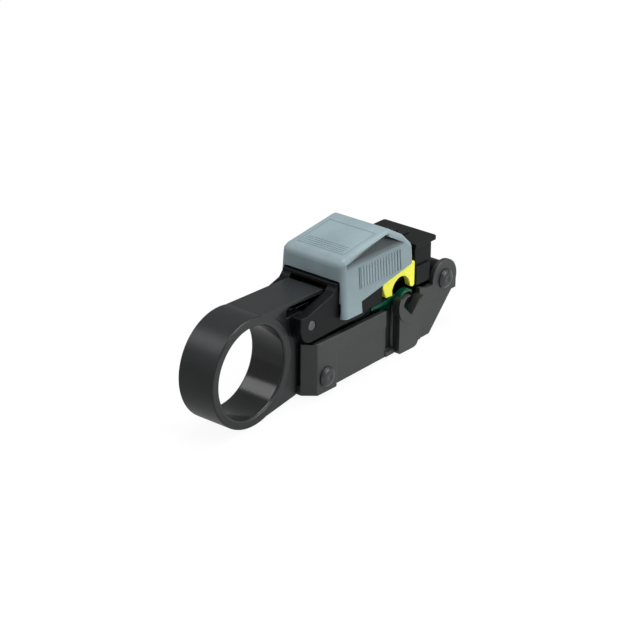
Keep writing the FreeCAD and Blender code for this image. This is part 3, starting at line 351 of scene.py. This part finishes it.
class Finishes:
    """Every finish of the tool, each made once."""

    def __init__(self) -> None:
        """Makes the materials."""
        shell_black = (0.019, 0.0235, 0.0222)
        self.black = MouldedPlastic("black_ring", (0.0105, 0.0125, 0.0132), (0.040, 0.045, 0.046), 0.36,
                                    specular=0.42, grain_strength=0.3).make()
        self.shell = MouldedPlastic("black_shell", shell_black, (0.055, 0.061, 0.059), 0.46,
                                    grain_strength=0.6).make()
        self.saddle = MouldedPlastic("black_saddle", shell_black, (0.060, 0.068, 0.066), 0.42,
                                     grain_strength=0.6).make()
        self.jaw = MouldedPlastic("black_jaw", (0.006, 0.0068, 0.0074), (0.032, 0.035, 0.036), 0.34,
                                  specular=0.10, grain_strength=0.25).make()
        self.bore = MouldedPlastic("black_polished_bore", (0.012, 0.0135, 0.0125), (0.05, 0.05, 0.05), 0.17,
                                   0.05, grain_strength=0.1).make()
        # The grey cover's dark colour for its side hollow is painted shade, not a colour of the plastic.
        self.grey = MouldedPlastic("grey_cover", (0.225, 0.296, 0.320), (0.42, 0.49, 0.51), 0.38,
                                   edge_wear=0.6, grain_strength=0.3, specular=0.35,
                                   painted_recess_shade=(0.035, 0.045, 0.05)).make()
        self.yellow = MouldedPlastic("yellow_guide", (0.97, 0.93, 0.06), (0.98, 0.96, 0.25), 0.30,
                                     grain_strength=0.2).make()
        self.green = MouldedPlastic("green_block", (0.001, 0.075, 0.042), (0.005, 0.14, 0.085), 0.28,
                                    grain_strength=0.2, specular=0.3).make()
        self.holder = MouldedPlastic("holder_black", (0.010, 0.010, 0.011), (0.04, 0.04, 0.042), 0.5).make()
        self.steel = TurnedSteel("bright_steel", (0.50, 0.50, 0.51)).make()
        self.pin = TurnedSteel("dull_pin_steel", (0.115, 0.12, 0.12), 0.42, 0.8).make()
        # Dark steel for both springs; for the jaw spring it is also painted shade, so the leg that shows
        # stays as dark as the gap it lies in.
        self.wire = TurnedSteel("spring_wire_dark_as_shade", (0.14, 0.14, 0.145), 0.35).make()
        self.blade = TurnedSteel("blade_steel", (0.66, 0.66, 0.68), 0.22,
                                 lines=Pattern(900.0, 4.0, 0.6, (1.0, 1.0, 18.0))).make()
        self.rivet = TurnedSteel("blackened_rivet", (0.045, 0.05, 0.052), 0.34, 0.5,
                                 Pattern(900.0, 4.0, 0.6)).make()


@dataclass(frozen=True)
class SidePrism:
    """A form with its outline in the side view, which fills or cuts a copy of a node.

    At the height foot_mm its outer and inner faces are outer_mm and inner_mm from the plane of symmetry.
    Above it they come nearer by outer_lean and lean for each millimetre.
    """

    outline_mm: Outline
    outer_mm: float
    inner_mm: float
    cuts: bool = True
    foot_mm: float = 0.0
    lean: float = 0.0
    outer_lean: float = 0.0
    sides: tuple[float, ...] = BOTH_SIDES

    def mesh(self, side: float) -> bpy.types.Mesh:
        """Builds the form on one side of the tool.

        Args:
            side: 1 for the far side, -1 for the near side.

        Returns:
            The closed form.
        """
        bm = bmesh.new()
        corners = []
        for x, z in self.outline_mm:
            outer = self.outer_mm - self.outer_lean * (z - self.foot_mm)
            corners.append(bm.verts.new((x * MM, side * outer * MM, z * MM)))
        made = bmesh.ops.extrude_face_region(bm, geom=[bm.faces.new(corners)])
        for vert in made["geom"]:
            if isinstance(vert, bmesh.types.BMVert):
                inner = self.inner_mm * MM - self.lean * (vert.co.z - self.foot_mm * MM)
                vert.co.y = side * inner
        bmesh.ops.recalc_face_normals(bm, faces=bm.faces)
        mesh = bpy.data.meshes.new("side_prism")
        bm.to_mesh(mesh)
        bm.free()
        return mesh


@dataclass(frozen=True)
class Zone:
    """A block of room on both sides of the tool, in millimetres."""

    x: Span
    y: Span
    z: Span

    def holds(self, point: Vector) -> bool:
        """Tells whether a point lies in the zone.

        Args:
            point: The point in metres.

        Returns:
            True where the point is inside.
        """
        spans = zip((self.x, self.y, self.z), (point.x / MM, abs(point.y) / MM, point.z / MM))
        return all(low <= value <= high for (low, high), value in spans)


@dataclass
class RoundedNode:
    """A copy of a CAD node: merged, filled and cut by its prisms, and rounded along its sharp edges."""

    node: str
    body: Body
    slot: Slot
    radius_mm: float
    prisms: tuple[SidePrism, ...] = ()
    keen: tuple[Zone, ...] = ()
    segments: int = 3
    profile: float = 0.5
    rounded_index: int = 1
    sharp_deg: float = 32.0
    flat_deg: float = 0.6
    merge_m: float = 2e-6
    sliver_m: float = 1e-6
    seam_m: float = 2e-7
    least_mm: float = 0.05
    least_edge_m: float = 1e-9
    least_turn: float = 0.8
    room_share: float = 0.42
    ease: float = 0.2
    ease_passes: int = 24

    def flatten(self, bm: bmesh.types.BMesh) -> None:
        """Dissolves the edges inside flat faces."""
        bmesh.ops.dissolve_limit(bm, angle_limit=math.radians(self.flat_deg), use_dissolve_boundaries=False,
                                 verts=bm.verts, edges=bm.edges, delimit={"NORMAL"})

    def reshaped(self, bm: bmesh.types.BMesh) -> bmesh.types.BMesh:
        """Fills and cuts the merged copy with its prisms.

        Args:
            bm: The merged mesh, which is used up.

        Returns:
            The reshaped mesh.
        """
        bmesh.ops.triangulate(bm, faces=bm.faces)
        mesh = bpy.data.meshes.new(self.node + "_base")
        bm.to_mesh(mesh)
        bm.free()
        base = bpy.data.objects.new(self.node + "_base", mesh)
        bpy.context.scene.collection.objects.link(base)
        forms = []
        for prism in self.prisms:
            for side in prism.sides:
                form = bpy.data.objects.new("side_prism", prism.mesh(side))
                bpy.context.scene.collection.objects.link(form)
                step = base.modifiers.new("side_prism", "BOOLEAN")
                step.operation = "DIFFERENCE" if prism.cuts else "UNION"
                step.solver = "EXACT"
                step.object = form
                forms.append(form)
        depsgraph = bpy.context.evaluated_depsgraph_get()
        shaped = bpy.data.meshes.new_from_object(base.evaluated_get(depsgraph))
        result = bmesh.new()
        result.from_mesh(shaped)
        for item in (base, *forms):
            bpy.data.objects.remove(item, do_unlink=True)
        bmesh.ops.remove_doubles(result, verts=result.verts, dist=self.seam_m)
        self.flatten(result)
        open_edges = sum(1 for edge in result.edges if len(edge.link_faces) != 2)
        LOG.info("%s: reshaped, %d open edges", self.node, open_edges)
        return result

    def merged(self) -> bmesh.types.BMesh:
        """Copies the node's mesh, merges its points, dissolves its flat faces and reshapes it.

        Returns:
            The merged mesh, in the row frame.
        """
        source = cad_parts[self.node]
        bm = bmesh.new()
        bm.from_mesh(source.data)
        bm.transform(source.matrix_world)
        bmesh.ops.remove_doubles(bm, verts=bm.verts, dist=self.merge_m)
        bmesh.ops.dissolve_degenerate(bm, dist=self.sliver_m, edges=bm.edges)
        self.flatten(bm)
        return self.reshaped(bm) if self.prisms else bm

    def room(self, edge: bmesh.types.BMEdge) -> float:
        """Finds how much room an edge has for its rounding.

        Args:
            edge: The edge to be rounded.

        Returns:
            The widest rounding in metres that stays clear of the next edges.
        """
        along = (edge.verts[1].co - edge.verts[0].co).normalized()
        widest = self.radius_mm * MM
        for vert in edge.verts:
            for other in vert.link_edges:
                if other is edge:
                    continue
                way = other.other_vert(vert).co - vert.co
                length = way.length
                if length > self.least_edge_m and abs(way.normalized().dot(along)) < self.least_turn:
                    widest = min(widest, length * self.room_share)
        middle = (edge.verts[0].co + edge.verts[1].co) / 2
        for face in edge.link_faces:
            across = face.normal.cross(along).normalized()
            reach = max(abs((loop.vert.co - middle).dot(across)) for loop in face.loops)
            widest = min(widest, reach * self.room_share)
        return widest

    def widths(self, bm: bmesh.types.BMesh) -> dict[bmesh.types.BMEdge, float]:
        """Chooses the sharp outer edges and gives each a rounding that changes gently along them.

        Args:
            bm: The merged mesh.

        Returns:
            The rounding's width in metres for each edge that gets one.
        """
        sharp = math.radians(self.sharp_deg)
        chosen = {edge: self.room(edge) for edge in bm.edges
                  if len(edge.link_faces) == 2 and edge.is_convex and edge.calc_face_angle(0.0) > sharp
                  and not any(zone.holds((edge.verts[0].co + edge.verts[1].co) / 2) for zone in self.keen)}
        for _ in range(self.ease_passes):
            for edge, width in chosen.items():
                for vert in edge.verts:
                    for other in vert.link_edges:
                        if other is not edge and other in chosen:
                            width = min(width, chosen[other] + self.ease * edge.calc_length())
                chosen[edge] = width
        return {edge: width for edge, width in chosen.items() if width > self.least_mm * MM}

    def build(self, material: bpy.types.Material) -> bpy.types.Object:
        """Rounds the edges and stands the copy in for its node.

        Args:
            material: The finish of the piece.

        Returns:
            The finished piece.
        """
        bm = self.merged()
        weight = bm.edges.layers.float.new("bevel_weight_edge")
        for edge, width in self.widths(bm).items():
            edge[weight] = width / (self.radius_mm * MM)
        mesh = bpy.data.meshes.new(self.node + "_piece")
        bm.to_mesh(mesh)
        bm.free()
        piece = bpy.data.objects.new(self.node + "_piece", mesh)
        bpy.context.scene.collection.objects.link(piece)
        mesh.materials.append(material)
        mesh.materials.append(material)
        rounding = piece.modifiers.new("rounding", "BEVEL")
        rounding.limit_method = "WEIGHT"
        rounding.width = self.radius_mm * MM
        rounding.segments = self.segments
        rounding.profile = self.profile
        rounding.use_clamp_overlap = False
        rounding.material = self.rounded_index
        self.settle(piece)
        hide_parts(self.node)
        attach(piece, self.body.value)
        LOG.info("%s: %d faces", piece.name, len(piece.data.polygons))
        return piece

    def settle(self, piece: bpy.types.Object) -> None:
        """Applies the rounding, marks its faces and smooths the shading.

        Args:
            piece: The piece with its rounding modifier.
        """
        depsgraph = bpy.context.evaluated_depsgraph_get()
        mesh = bpy.data.meshes.new_from_object(piece.evaluated_get(depsgraph))
        piece.modifiers.clear()
        piece.data = mesh
        mark = mesh.attributes.new(EDGE_MARK, "FLOAT", "FACE")
        for polygon in mesh.polygons:
            mark.data[polygon.index].value = float(polygon.material_index == self.rounded_index)
            polygon.material_index = 0
        mesh.materials.pop(index=self.rounded_index)
        mesh.shade_smooth()
        mesh.set_sharp_from_angle(angle=math.radians(self.sharp_deg))
        weighted = piece.modifiers.new("even_shading", "WEIGHTED_NORMAL")
        weighted.keep_sharp = True


@dataclass
class SubAssembly:
    """A group of nodes on one body, each with its finish and its rounding."""

    body: Body

    def dress(self, node: str, slot: Slot, material: bpy.types.Material, radius_mm: float,
              prisms: tuple[SidePrism, ...] = (), keen: tuple[Zone, ...] = ()) -> bpy.types.Object:
        """Stands a reshaped and rounded copy in for a node and gives it its finish.

        Args:
            node: The CAD node.
            slot: The record's slot; not used.
            material: The finish.
            radius_mm: The radius of its moulded edges.
            prisms: Forms that fill or cut the copy.
            keen: Zones whose edges stay unrounded.

        Returns:
            The finished piece.
        """
        return RoundedNode(node, self.body, slot, radius_mm, prisms, keen).build(material)

    def coat(self, node: str, material: bpy.types.Material) -> None:
        """Gives a CAD node that keeps its own shape a finish.

        Args:
            node: The CAD node.
            material: The finish.
        """
        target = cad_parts[node]
        for slot in target.material_slots:
            slot.material = material
        LOG.info("%s keeps its shape", node)


@dataclass
class HandFrame(SubAssembly):
    """The ring with its arm, the lower shell, the saddle clip, the rivets, the pin and the springs."""

    edge_mm: float = 0.3
    shell_edge_mm: float = 0.35
    rivet_edge_mm: float = 0.12
    bore_mm: float = 14.0
    bore_margin_mm: float = 0.12
    notch_zones: tuple[Zone, ...] = (Zone((58.6, 73.0), (8.0, 14.0), (-2.5, 6.0)),)
    channel_zones: tuple[Zone, ...] = (Zone((58.9, 70.6), (8.9, 11.3), (-12.9, 4.0)),)
    hook_mm: Outline = (
        (59.05, 1.0), (60.6, 1.0), (60.85, 2.4), (61.6, 3.6), (62.6, 4.64), (63.9, 4.68), (64.3, 4.9),
        (64.0, 5.25), (61.1, 5.2), (59.7, 4.45), (59.15, 3.5))
    flank_mm: Outline = ((65.0, -1.55), (68.45, 2.1), (69.1, 2.75), (69.1, -2.2), (65.4, -2.2))
    hook_y_mm: Span = (13.29, 11.8)
    flank_step_mm: Span = (0.03, 1.2)

    def notch(self) -> tuple[SidePrism, ...]:
        """Shapes the longer hook over the cable's notch and the steeper flank behind it.

        Returns:
            The two forms, ready to be joined to the saddle clip.
        """
        outer, inner = self.hook_y_mm
        outer_step, inner_step = self.flank_step_mm
        return (SidePrism(self.hook_mm, outer, inner, cuts=False),
                SidePrism(self.flank_mm, outer - outer_step, inner - inner_step, cuts=False))

    def build(self, finishes: Finishes) -> None:
        """Builds the frame's pieces.

        Args:
            finishes: The tool's finishes.
        """
        ring = self.dress("ring_frame", Slot.BLACK, finishes.black, self.edge_mm)
        self.polish_bore(ring, finishes.bore)
        self.dress("lower_shell", Slot.BLACK, finishes.shell, self.shell_edge_mm, keen=self.channel_zones)
        self.dress("saddle_clip", Slot.BLACK, finishes.saddle, self.edge_mm, self.notch(), self.notch_zones)
        for node in ("front_rivet", "rear_rivet"):
            self.dress(node, Slot.RIVET, finishes.rivet, self.rivet_edge_mm)
        self.dress("pivot_pin", Slot.STEEL, finishes.pin, self.rivet_edge_mm)
        self.coat("block_spring", finishes.steel)
        for node in ("jaw_spring", "pawl_spring"):
            self.coat(node, finishes.wire)

    def polish_bore(self, ring: bpy.types.Object, material: bpy.types.Material) -> None:
        """Gives the ring's bore its smoother finish.

        Args:
            ring: The finished ring frame.
            material: The finish of the bore.
        """
        bore_index = len(ring.data.materials)
        ring.data.materials.append(material)
        for polygon in ring.data.polygons:
            reach = math.hypot(polygon.center.x, polygon.center.z)
            if abs(reach - self.bore_mm * MM) < self.bore_margin_mm * MM:
                polygon.material_index = bore_index


@dataclass
class Jaw(SubAssembly):
    """The hinged carrier with its ears, bar, rear box and plate."""

    edge_mm: float = 0.3
    skirt_mm: Outline = ((42.5, 2.2), (50.0, 2.2), (50.0, 6.4), (42.5, 6.4))
    skirt_y_mm: Span = (9.1, 8.2)

    def build(self, finishes: Finishes) -> None:
        """Builds the jaw, with the skirt that its walls have inside the shell.

        Args:
            finishes: The tool's finishes.
        """
        skirt = SidePrism(self.skirt_mm, *self.skirt_y_mm, cuts=False)
        self.dress("jaw", Slot.BLACK, finishes.jaw, self.edge_mm, (skirt,))


def line_height(first: Span, last: Span, x: float) -> float:
    """Finds the height over x of the straight line through two points of an outline."""
    return first[1] + (x - first[0]) * (last[1] - first[1]) / (last[0] - first[0])


@dataclass
class Cassette(SubAssembly):
    """The lift-off cassette: cover, guides, holder, blades and screws."""

    cover_edge_mm: float = 0.25
    guide_edge_mm: float = 0.25
    holder_edge_mm: float = 0.2
    keen_zones: tuple[Zone, ...] = (Zone((34.3, 63.6), (8.0, 14.0), (13.9, 27.6)),
                                    Zone((36.9, 53.0), (0.0, 9.2), (24.9, 28.0)))
    side_mm: float = 12.3
    draft: float = 0.075
    draft_foot_mm: float = 20.0
    hollow_mm: Outline = ((35.35, 21.98), (62.65, 22.3), (53.95, 27.1), (35.35, 23.3))
    hollow_y_mm: Span = (14.0, 12.15)
    hollow_foot_mm: float = 22.0
    hollow_lean: float = 0.61
    filler_mm: Outline = ((35.47, 22.05), (62.3, 22.33), (53.9, 26.85), (35.47, 23.15))
    filler_y_mm: Span = (12.12, 11.0)
    backing_mm: Outline = ((34.6, 21.2), (63.2, 21.3), (61.2, 23.6), (55.2, 26.6), (34.6, 23.6))
    backing_y_mm: Span = (11.6, 8.2)
    grip_x_mm: Span = (41.0, 59.5)
    grip_z_mm: Span = (14.65, 21.15)
    groove_count: int = 15
    groove_mm: float = 0.62
    groove_depth_mm: float = 0.34
    groove_reach_mm: float = 1.0
    slab_ends_mm: Span = (0.2, 0.7)
    slab_rim_mm: float = 0.1
    slab_sink_mm: float = 0.02
    slab_inner_mm: float = 11.3
    top_foot_mm: Span = (33.5, 24.75)
    top_slope: float = 0.14935
    bar_mm: float = 0.12
    bar_root_mm: float = 0.3
    bar_step_mm: float = 0.01
    line_mm: float = 0.3
    panel_x_mm: Span = (37.4, 52.5)
    panel_half_mm: float = 8.9
    corner_gap_mm: Span = (0.03, 0.05)
    tick_pitch_mm: float = 1.0
    tick_count: int = 4
    tick_gap_mm: float = 1.2
    recess_zone: Zone = Zone((35.3, 62.5), (8.9, 12.4), (21.9, 27.1))
    recess_margin_mm: float = 0.05
    recess_depth_mm: float = 0.03
    recess_facing: float = 0.3

    def hollow(self) -> tuple[SidePrism, ...]:
        """Shapes the cover's deep side hollow, whose floor leans inwards.

        Returns:
            The thicker wall behind the hollow, the filling of the flat hollow and the wedge that is cut out.
        """
        foot, lean = self.hollow_foot_mm, self.hollow_lean
        return (SidePrism(self.backing_mm, *self.backing_y_mm, cuts=False),
                SidePrism(self.filler_mm, *self.filler_y_mm, cuts=False),
                SidePrism(self.hollow_mm, *self.hollow_y_mm, foot_mm=foot, lean=lean))

    def upright(self, x_mm: Span, z_mm: Span, y_mm: Span, cuts: bool) -> SidePrism:
        """Makes a block whose outer and inner faces follow the cover's drafted side.

        Args:
            x_mm: Where it starts and ends along the tool.
            z_mm: Its lower and upper edge.
            y_mm: Its outer and inner face at the height draft_foot_mm.
            cuts: True to cut it out of the cover, False to join it.

        Returns:
            The block.
        """
        (front, rear), (low, high) = x_mm, z_mm
        outline = ((front, low), (rear, low), (rear, high), (front, high))
        return SidePrism(outline, *y_mm, cuts, self.draft_foot_mm, self.draft, self.draft)

    def grip(self) -> tuple[SidePrism, ...]:
        """Shapes the grip's grooves, which are cut in a side that is filled first.

        Returns:
            The slab that fills the side and the grooves.
        """
        front, rear = self.grip_x_mm
        low, high = self.grip_z_mm
        slab_x = (front - self.slab_ends_mm[0], rear + self.slab_ends_mm[1])
        slab_z = (low - self.slab_rim_mm, high + self.slab_rim_mm)
        slab = self.upright(slab_x, slab_z, (self.side_mm - self.slab_sink_mm, self.slab_inner_mm), False)
        pitch = (rear - front) / (self.groove_count - 1)
        starts = [front + pitch * index for index in range(self.groove_count)]
        depth = (self.side_mm + self.groove_reach_mm, self.side_mm - self.groove_depth_mm)
        return (slab, *(self.upright((start, start + self.groove_mm), (low, high), depth, True)
                        for start in starts))

    def top_bar(self, front_mm: float, rear_mm: float, outer_mm: float, inner_mm: float) -> SidePrism:
        """Outlines a thin bar that stands on the cover's sloping top.

        Args:
            front_mm: Where the bar starts along the tool.
            rear_mm: Where it ends.
            outer_mm: Its outer side.
            inner_mm: Its inner side, below zero for one bar that crosses the whole top.

        Returns:
            The bar, ready to be joined to the cover.
        """
        foot_x, foot_z = self.top_foot_mm
        front_z, rear_z = (foot_z + self.top_slope * (x - foot_x) for x in (front_mm, rear_mm))
        across = inner_mm < 0.0
        rise = self.bar_mm - (self.bar_step_mm if across else 0.0)
        root = self.bar_root_mm
        outline = ((front_mm, front_z - root), (rear_mm, rear_z - root), (rear_mm, rear_z + rise),
                   (front_mm, front_z + rise))
        return SidePrism(outline, outer_mm, inner_mm, cuts=False, sides=FAR_SIDE if across else BOTH_SIDES)

    def top_panel(self) -> tuple[SidePrism, ...]:
        """Shapes the raised frame and the plain ruled lines on the cover's top.

        Returns:
            The side bars and the bars that cross the top, which are a little lower.
        """
        front, rear = self.panel_x_mm
        half = self.panel_half_mm
        end_gap, side_gap = self.corner_gap_mm
        crossing = [(front + end_gap, front + self.line_mm, side_gap),
                    (rear - self.line_mm, rear - end_gap, side_gap)]
        for index in range(self.tick_count):
            start = front + self.tick_pitch_mm * (index + 1)
            crossing.append((start, start + self.line_mm, self.tick_gap_mm))
        side_bars = self.top_bar(front, rear, half, half - self.line_mm)
        return (side_bars, *(self.top_bar(start, end, half - gap, gap - half)
                             for start, end, gap in crossing))

    def build(self, finishes: Finishes) -> None:
        """Builds the cassette's pieces.

        Args:
            finishes: The tool's finishes.
        """
        cover = self.dress("cassette_cover", Slot.GREY, finishes.grey, self.cover_edge_mm,
                           self.hollow() + self.grip() + self.top_panel(), self.keen_zones)
        self.mark_painted_shade(cover)
        for node in ("cable_guide_near", "cable_guide_far"):
            self.dress(node, Slot.YELLOW, finishes.yellow, self.guide_edge_mm)
        self.dress("blade_holder", Slot.HOLDER, finishes.holder, self.holder_edge_mm)
        for node in ("blade_1", "blade_2", "blade_3"):
            self.coat(node, finishes.blade)
        for node in ("tie_screws", "cover_screws"):
            self.coat(node, finishes.steel)

    def mark_painted_shade(self, cover: bpy.types.Object) -> None:
        """Marks the faces inside the side hollows that look outwards or down, where shade is painted.

        Args:
            cover: The finished cover.
        """
        mark = cover.data.attributes.new(PAINTED_SHADE_MARK, "FLOAT", "FACE")
        rear, peak, front = self.hollow_mm[1:]
        for polygon in cover.data.polygons:
            x, y, z = (value / MM for value in polygon.center)
            roof = min(line_height(front, peak, x), line_height(peak, rear, x)) + self.recess_margin_mm
            depth = self.side_mm + self.draft * (self.draft_foot_mm - z) - abs(y)
            inside = z < roof and depth > self.recess_depth_mm and self.recess_zone.holds(polygon.center)
            outward = polygon.normal.y * y > 0.0 and abs(polygon.normal.y) > self.recess_facing
            downward = polygon.normal.z < -self.recess_facing
            mark.data[polygon.index].value = float(inside and (outward or downward))


@dataclass
class CableBlock(SubAssembly):
    """The sprung green block with its cable eyes and rails."""

    edge_mm: float = 0.2
    cutback_mm: Outline = (
        (61.95, -1.03), (69.7, -1.03), (69.7, 7.1), (67.03, 7.1), (67.03, 2.63), (61.95, 2.63))
    cutback_y_mm: Span = (12.0, 7.2)

    def build(self, finishes: Finishes) -> None:
        """Builds the block, whose cable eyes are open below and at the rear.

        Args:
            finishes: The tool's finishes.
        """
        cutback = SidePrism(self.cutback_mm, *self.cutback_y_mm)
        self.dress("cable_block", Slot.GREEN, finishes.green, self.edge_mm, (cutback,))


@dataclass
class Pawl(SubAssembly):
    """The ratchet pawl on the rear rivet."""

    edge_mm: float = 0.2

    def build(self, finishes: Finishes) -> None:
        """Builds the pawl.

        Args:
            finishes: The tool's finishes.
        """
        self.dress("ratchet_pawl", Slot.BLACK, finishes.jaw, self.edge_mm)


@dataclass(frozen=True)
class Softbox:
    """A soft lamp: its place, its width and height in metres, its power and what it points at."""

    name: str
    place: Triple
    size: Span
    watts: float
    aim: Triple = (0.035, 0.0, 0.005)

    def hang(self) -> None:
        """Hangs the lamp in the studio."""
        data = bpy.data.lights.new(self.name, "AREA")
        data.shape = "RECTANGLE"
        data.size, data.size_y = self.size
        data.energy = self.watts
        lamp = bpy.data.objects.new(self.name, data)
        way = Vector(self.aim) - Vector(self.place)
        turn = way.to_track_quat("-Z", "Y").to_matrix().to_4x4()
        lamp.matrix_world = Matrix.Translation(self.place) @ turn
        bpy.context.scene.collection.objects.link(lamp)


@dataclass
class Studio:
    """A pale floor, soft lamps and the camera at the photograph's angle."""

    lens_mm: float = 129.46
    sensor_mm: float = 36.0
    clip_m: Span = (0.01, 10.0)
    eye: Vector = field(default_factory=lambda: Vector((-0.442308, -0.400728, 0.281623)))
    heading_deg: float = 39.865
    fall_deg: float = 24.098
    roll_deg: float = 0.446
    floor_half_m: float = 1.6
    floor_gap_m: float = 0.00003
    floor_colour: Colour = (0.5, 0.5, 0.5)
    floor_roughness: float = 0.9
    floor_shows: float = 0.12
    floor_white: float = 1.06
    floor_mirror: Span = (0.4, 1.05)
    mirror_turn: float = 0.5
    mirror_span_m: Span = (-0.03, 0.045)
    ring_bottom: Vector = field(default_factory=lambda: Vector((0.0, 0.0, -0.01706)))
    strap_bottom: Vector = field(default_factory=lambda: Vector((0.0631, 0.0, -0.0133)))
    room_glow: float = 0.32
    white_glow: float = 1.0
    softboxes: tuple[Softbox, ...] = (
        Softbox("top_softbox", (0.10, -0.08, 0.75), (0.55, 0.55), 5.6),
        Softbox("left_softbox", (-0.62, 0.18, 0.34), (0.30, 0.45), 0.75),
        Softbox("right_softbox", (0.30, -0.62, 0.30), (0.45, 0.35), 2.6),
        Softbox("bore_softbox", (-0.24, 0.35, 0.42), (0.25, 0.25), 0.55, (0.0, 0.0, 0.0)))

    def camera(self) -> None:
        """Places the camera that was fitted to the photograph."""
        heading = math.radians(self.heading_deg)
        fall = math.radians(self.fall_deg)
        roll = math.radians(self.roll_deg)
        ahead = Vector((math.cos(fall) * math.cos(heading), math.cos(fall) * math.sin(heading),
                        -math.sin(fall)))
        right = Vector((math.sin(heading), -math.cos(heading), 0.0))
        up = right.cross(ahead)
        right_rolled = right * math.cos(roll) + up * math.sin(roll)
        up_rolled = up * math.cos(roll) - right * math.sin(roll)
        data = bpy.data.cameras.new("photo_camera")
        data.lens = self.lens_mm
        data.sensor_width = self.sensor_mm
        data.clip_start, data.clip_end = self.clip_m
        camera = bpy.data.objects.new("photo_camera", data)
        turn = Matrix((right_rolled, up_rolled, -ahead)).transposed()
        camera.matrix_world = Matrix.Translation(self.eye) @ turn.to_4x4()
        bpy.context.scene.collection.objects.link(camera)
        bpy.context.scene.camera = camera

    def backdrop_material(self) -> bpy.types.Material:
        """Makes the floor's finish: white to the camera, with a faint shadow.

        In the tool's own reflections it is brighter towards the near side and the rear.

        Returns:
            The floor's material.
        """
        sheet = ShaderSheet("pale_floor")
        nodes = sheet.tree.nodes
        sheet.shader.inputs["Base Color"].default_value = (*self.floor_colour, 1.0)
        sheet.shader.inputs["Roughness"].default_value = self.floor_roughness
        sheet.shader.inputs["Specular IOR Level"].default_value = 0.0
        path = nodes.new("ShaderNodeLightPath")
        near = sheet.worked("MULTIPLY", sheet.along("Y"), -1.0)
        near_rear = sheet.worked("MULTIPLY_ADD", sheet.along("X"), self.mirror_turn, near)
        mirror = sheet.span(near_rear, *self.mirror_span_m, *self.floor_mirror)
        mirrored = sheet.worked("MULTIPLY", path.outputs["Is Glossy Ray"], mirror)
        strength = sheet.worked("MULTIPLY_ADD", path.outputs["Is Camera Ray"], self.floor_white, mirrored)
        glow = nodes.new("ShaderNodeEmission")
        glow.inputs["Color"].default_value = WHITE
        sheet.link(strength, glow.inputs["Strength"])
        seen = sheet.worked("MAXIMUM", path.outputs["Is Camera Ray"], path.outputs["Is Glossy Ray"])
        mix = nodes.new("ShaderNodeMixShader")
        sheet.link(sheet.worked("MULTIPLY", seen, 1.0 - self.floor_shows), mix.inputs["Fac"])
        sheet.link(sheet.shader.outputs["BSDF"], mix.inputs[1])
        sheet.link(glow.outputs["Emission"], mix.inputs[2])
        sheet.link(mix.outputs["Shader"], sheet.output.inputs["Surface"])
        return sheet.material

    def floor(self) -> None:
        """Lays the floor under the ring and the saddle clip's strap."""
        slope = (self.strap_bottom.z - self.ring_bottom.z) / (self.strap_bottom.x - self.ring_bottom.x)
        tilt = Matrix.Rotation(-math.atan(slope), 4, "Y")
        low = Matrix.Translation(self.ring_bottom - Vector((0.0, 0.0, self.floor_gap_m)))
        bm = bmesh.new()
        bmesh.ops.create_grid(bm, x_segments=1, y_segments=1, size=self.floor_half_m, matrix=low @ tilt)
        mesh = bpy.data.meshes.new("studio_floor")
        bm.to_mesh(mesh)
        bm.free()
        mesh.materials.append(self.backdrop_material())
        sheet = bpy.data.objects.new("studio_floor", mesh)
        bpy.context.scene.collection.objects.link(sheet)

    def world(self) -> None:
        """Fills the room with plain light and shows white behind the object."""
        world = bpy.data.worlds.new("studio_room")
        world.use_nodes = True
        nodes = world.node_tree.nodes
        links = world.node_tree.links
        nodes.clear()
        output = nodes.new("ShaderNodeOutputWorld")
        path = nodes.new("ShaderNodeLightPath")
        mix = nodes.new("ShaderNodeMixShader")
        links.new(path.outputs["Is Camera Ray"], mix.inputs["Fac"])
        for index, strength in enumerate((self.room_glow, self.white_glow), start=1):
            light = nodes.new("ShaderNodeBackground")
            light.inputs["Color"].default_value = WHITE
            light.inputs["Strength"].default_value = strength
            links.new(light.outputs["Background"], mix.inputs[index])
        links.new(mix.outputs["Shader"], output.inputs["Surface"])
        bpy.context.scene.world = world

    def build(self) -> None:
        """Sets up the floor, the room, the lamps and the camera."""
        self.floor()
        self.world()
        for softbox in self.softboxes:
            softbox.hang()
        self.camera()


def main() -> None:
    """Builds the tool, its studio and its camera."""
    logging.basicConfig(level=logging.INFO, format="%(name)s: %(message)s")
    view = bpy.context.scene.view_settings
    view.view_transform = "Standard"
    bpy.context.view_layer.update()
    finishes = Finishes()
    HandFrame(Body.FRAME).build(finishes)
    Jaw(Body.JAW).build(finishes)
    Cassette(Body.CASSETTE).build(finishes)
    CableBlock(Body.BLOCK).build(finishes)
    Pawl(Body.PAWL).build(finishes)
    Studio().build()


if __name__ == "__main__":
    main()
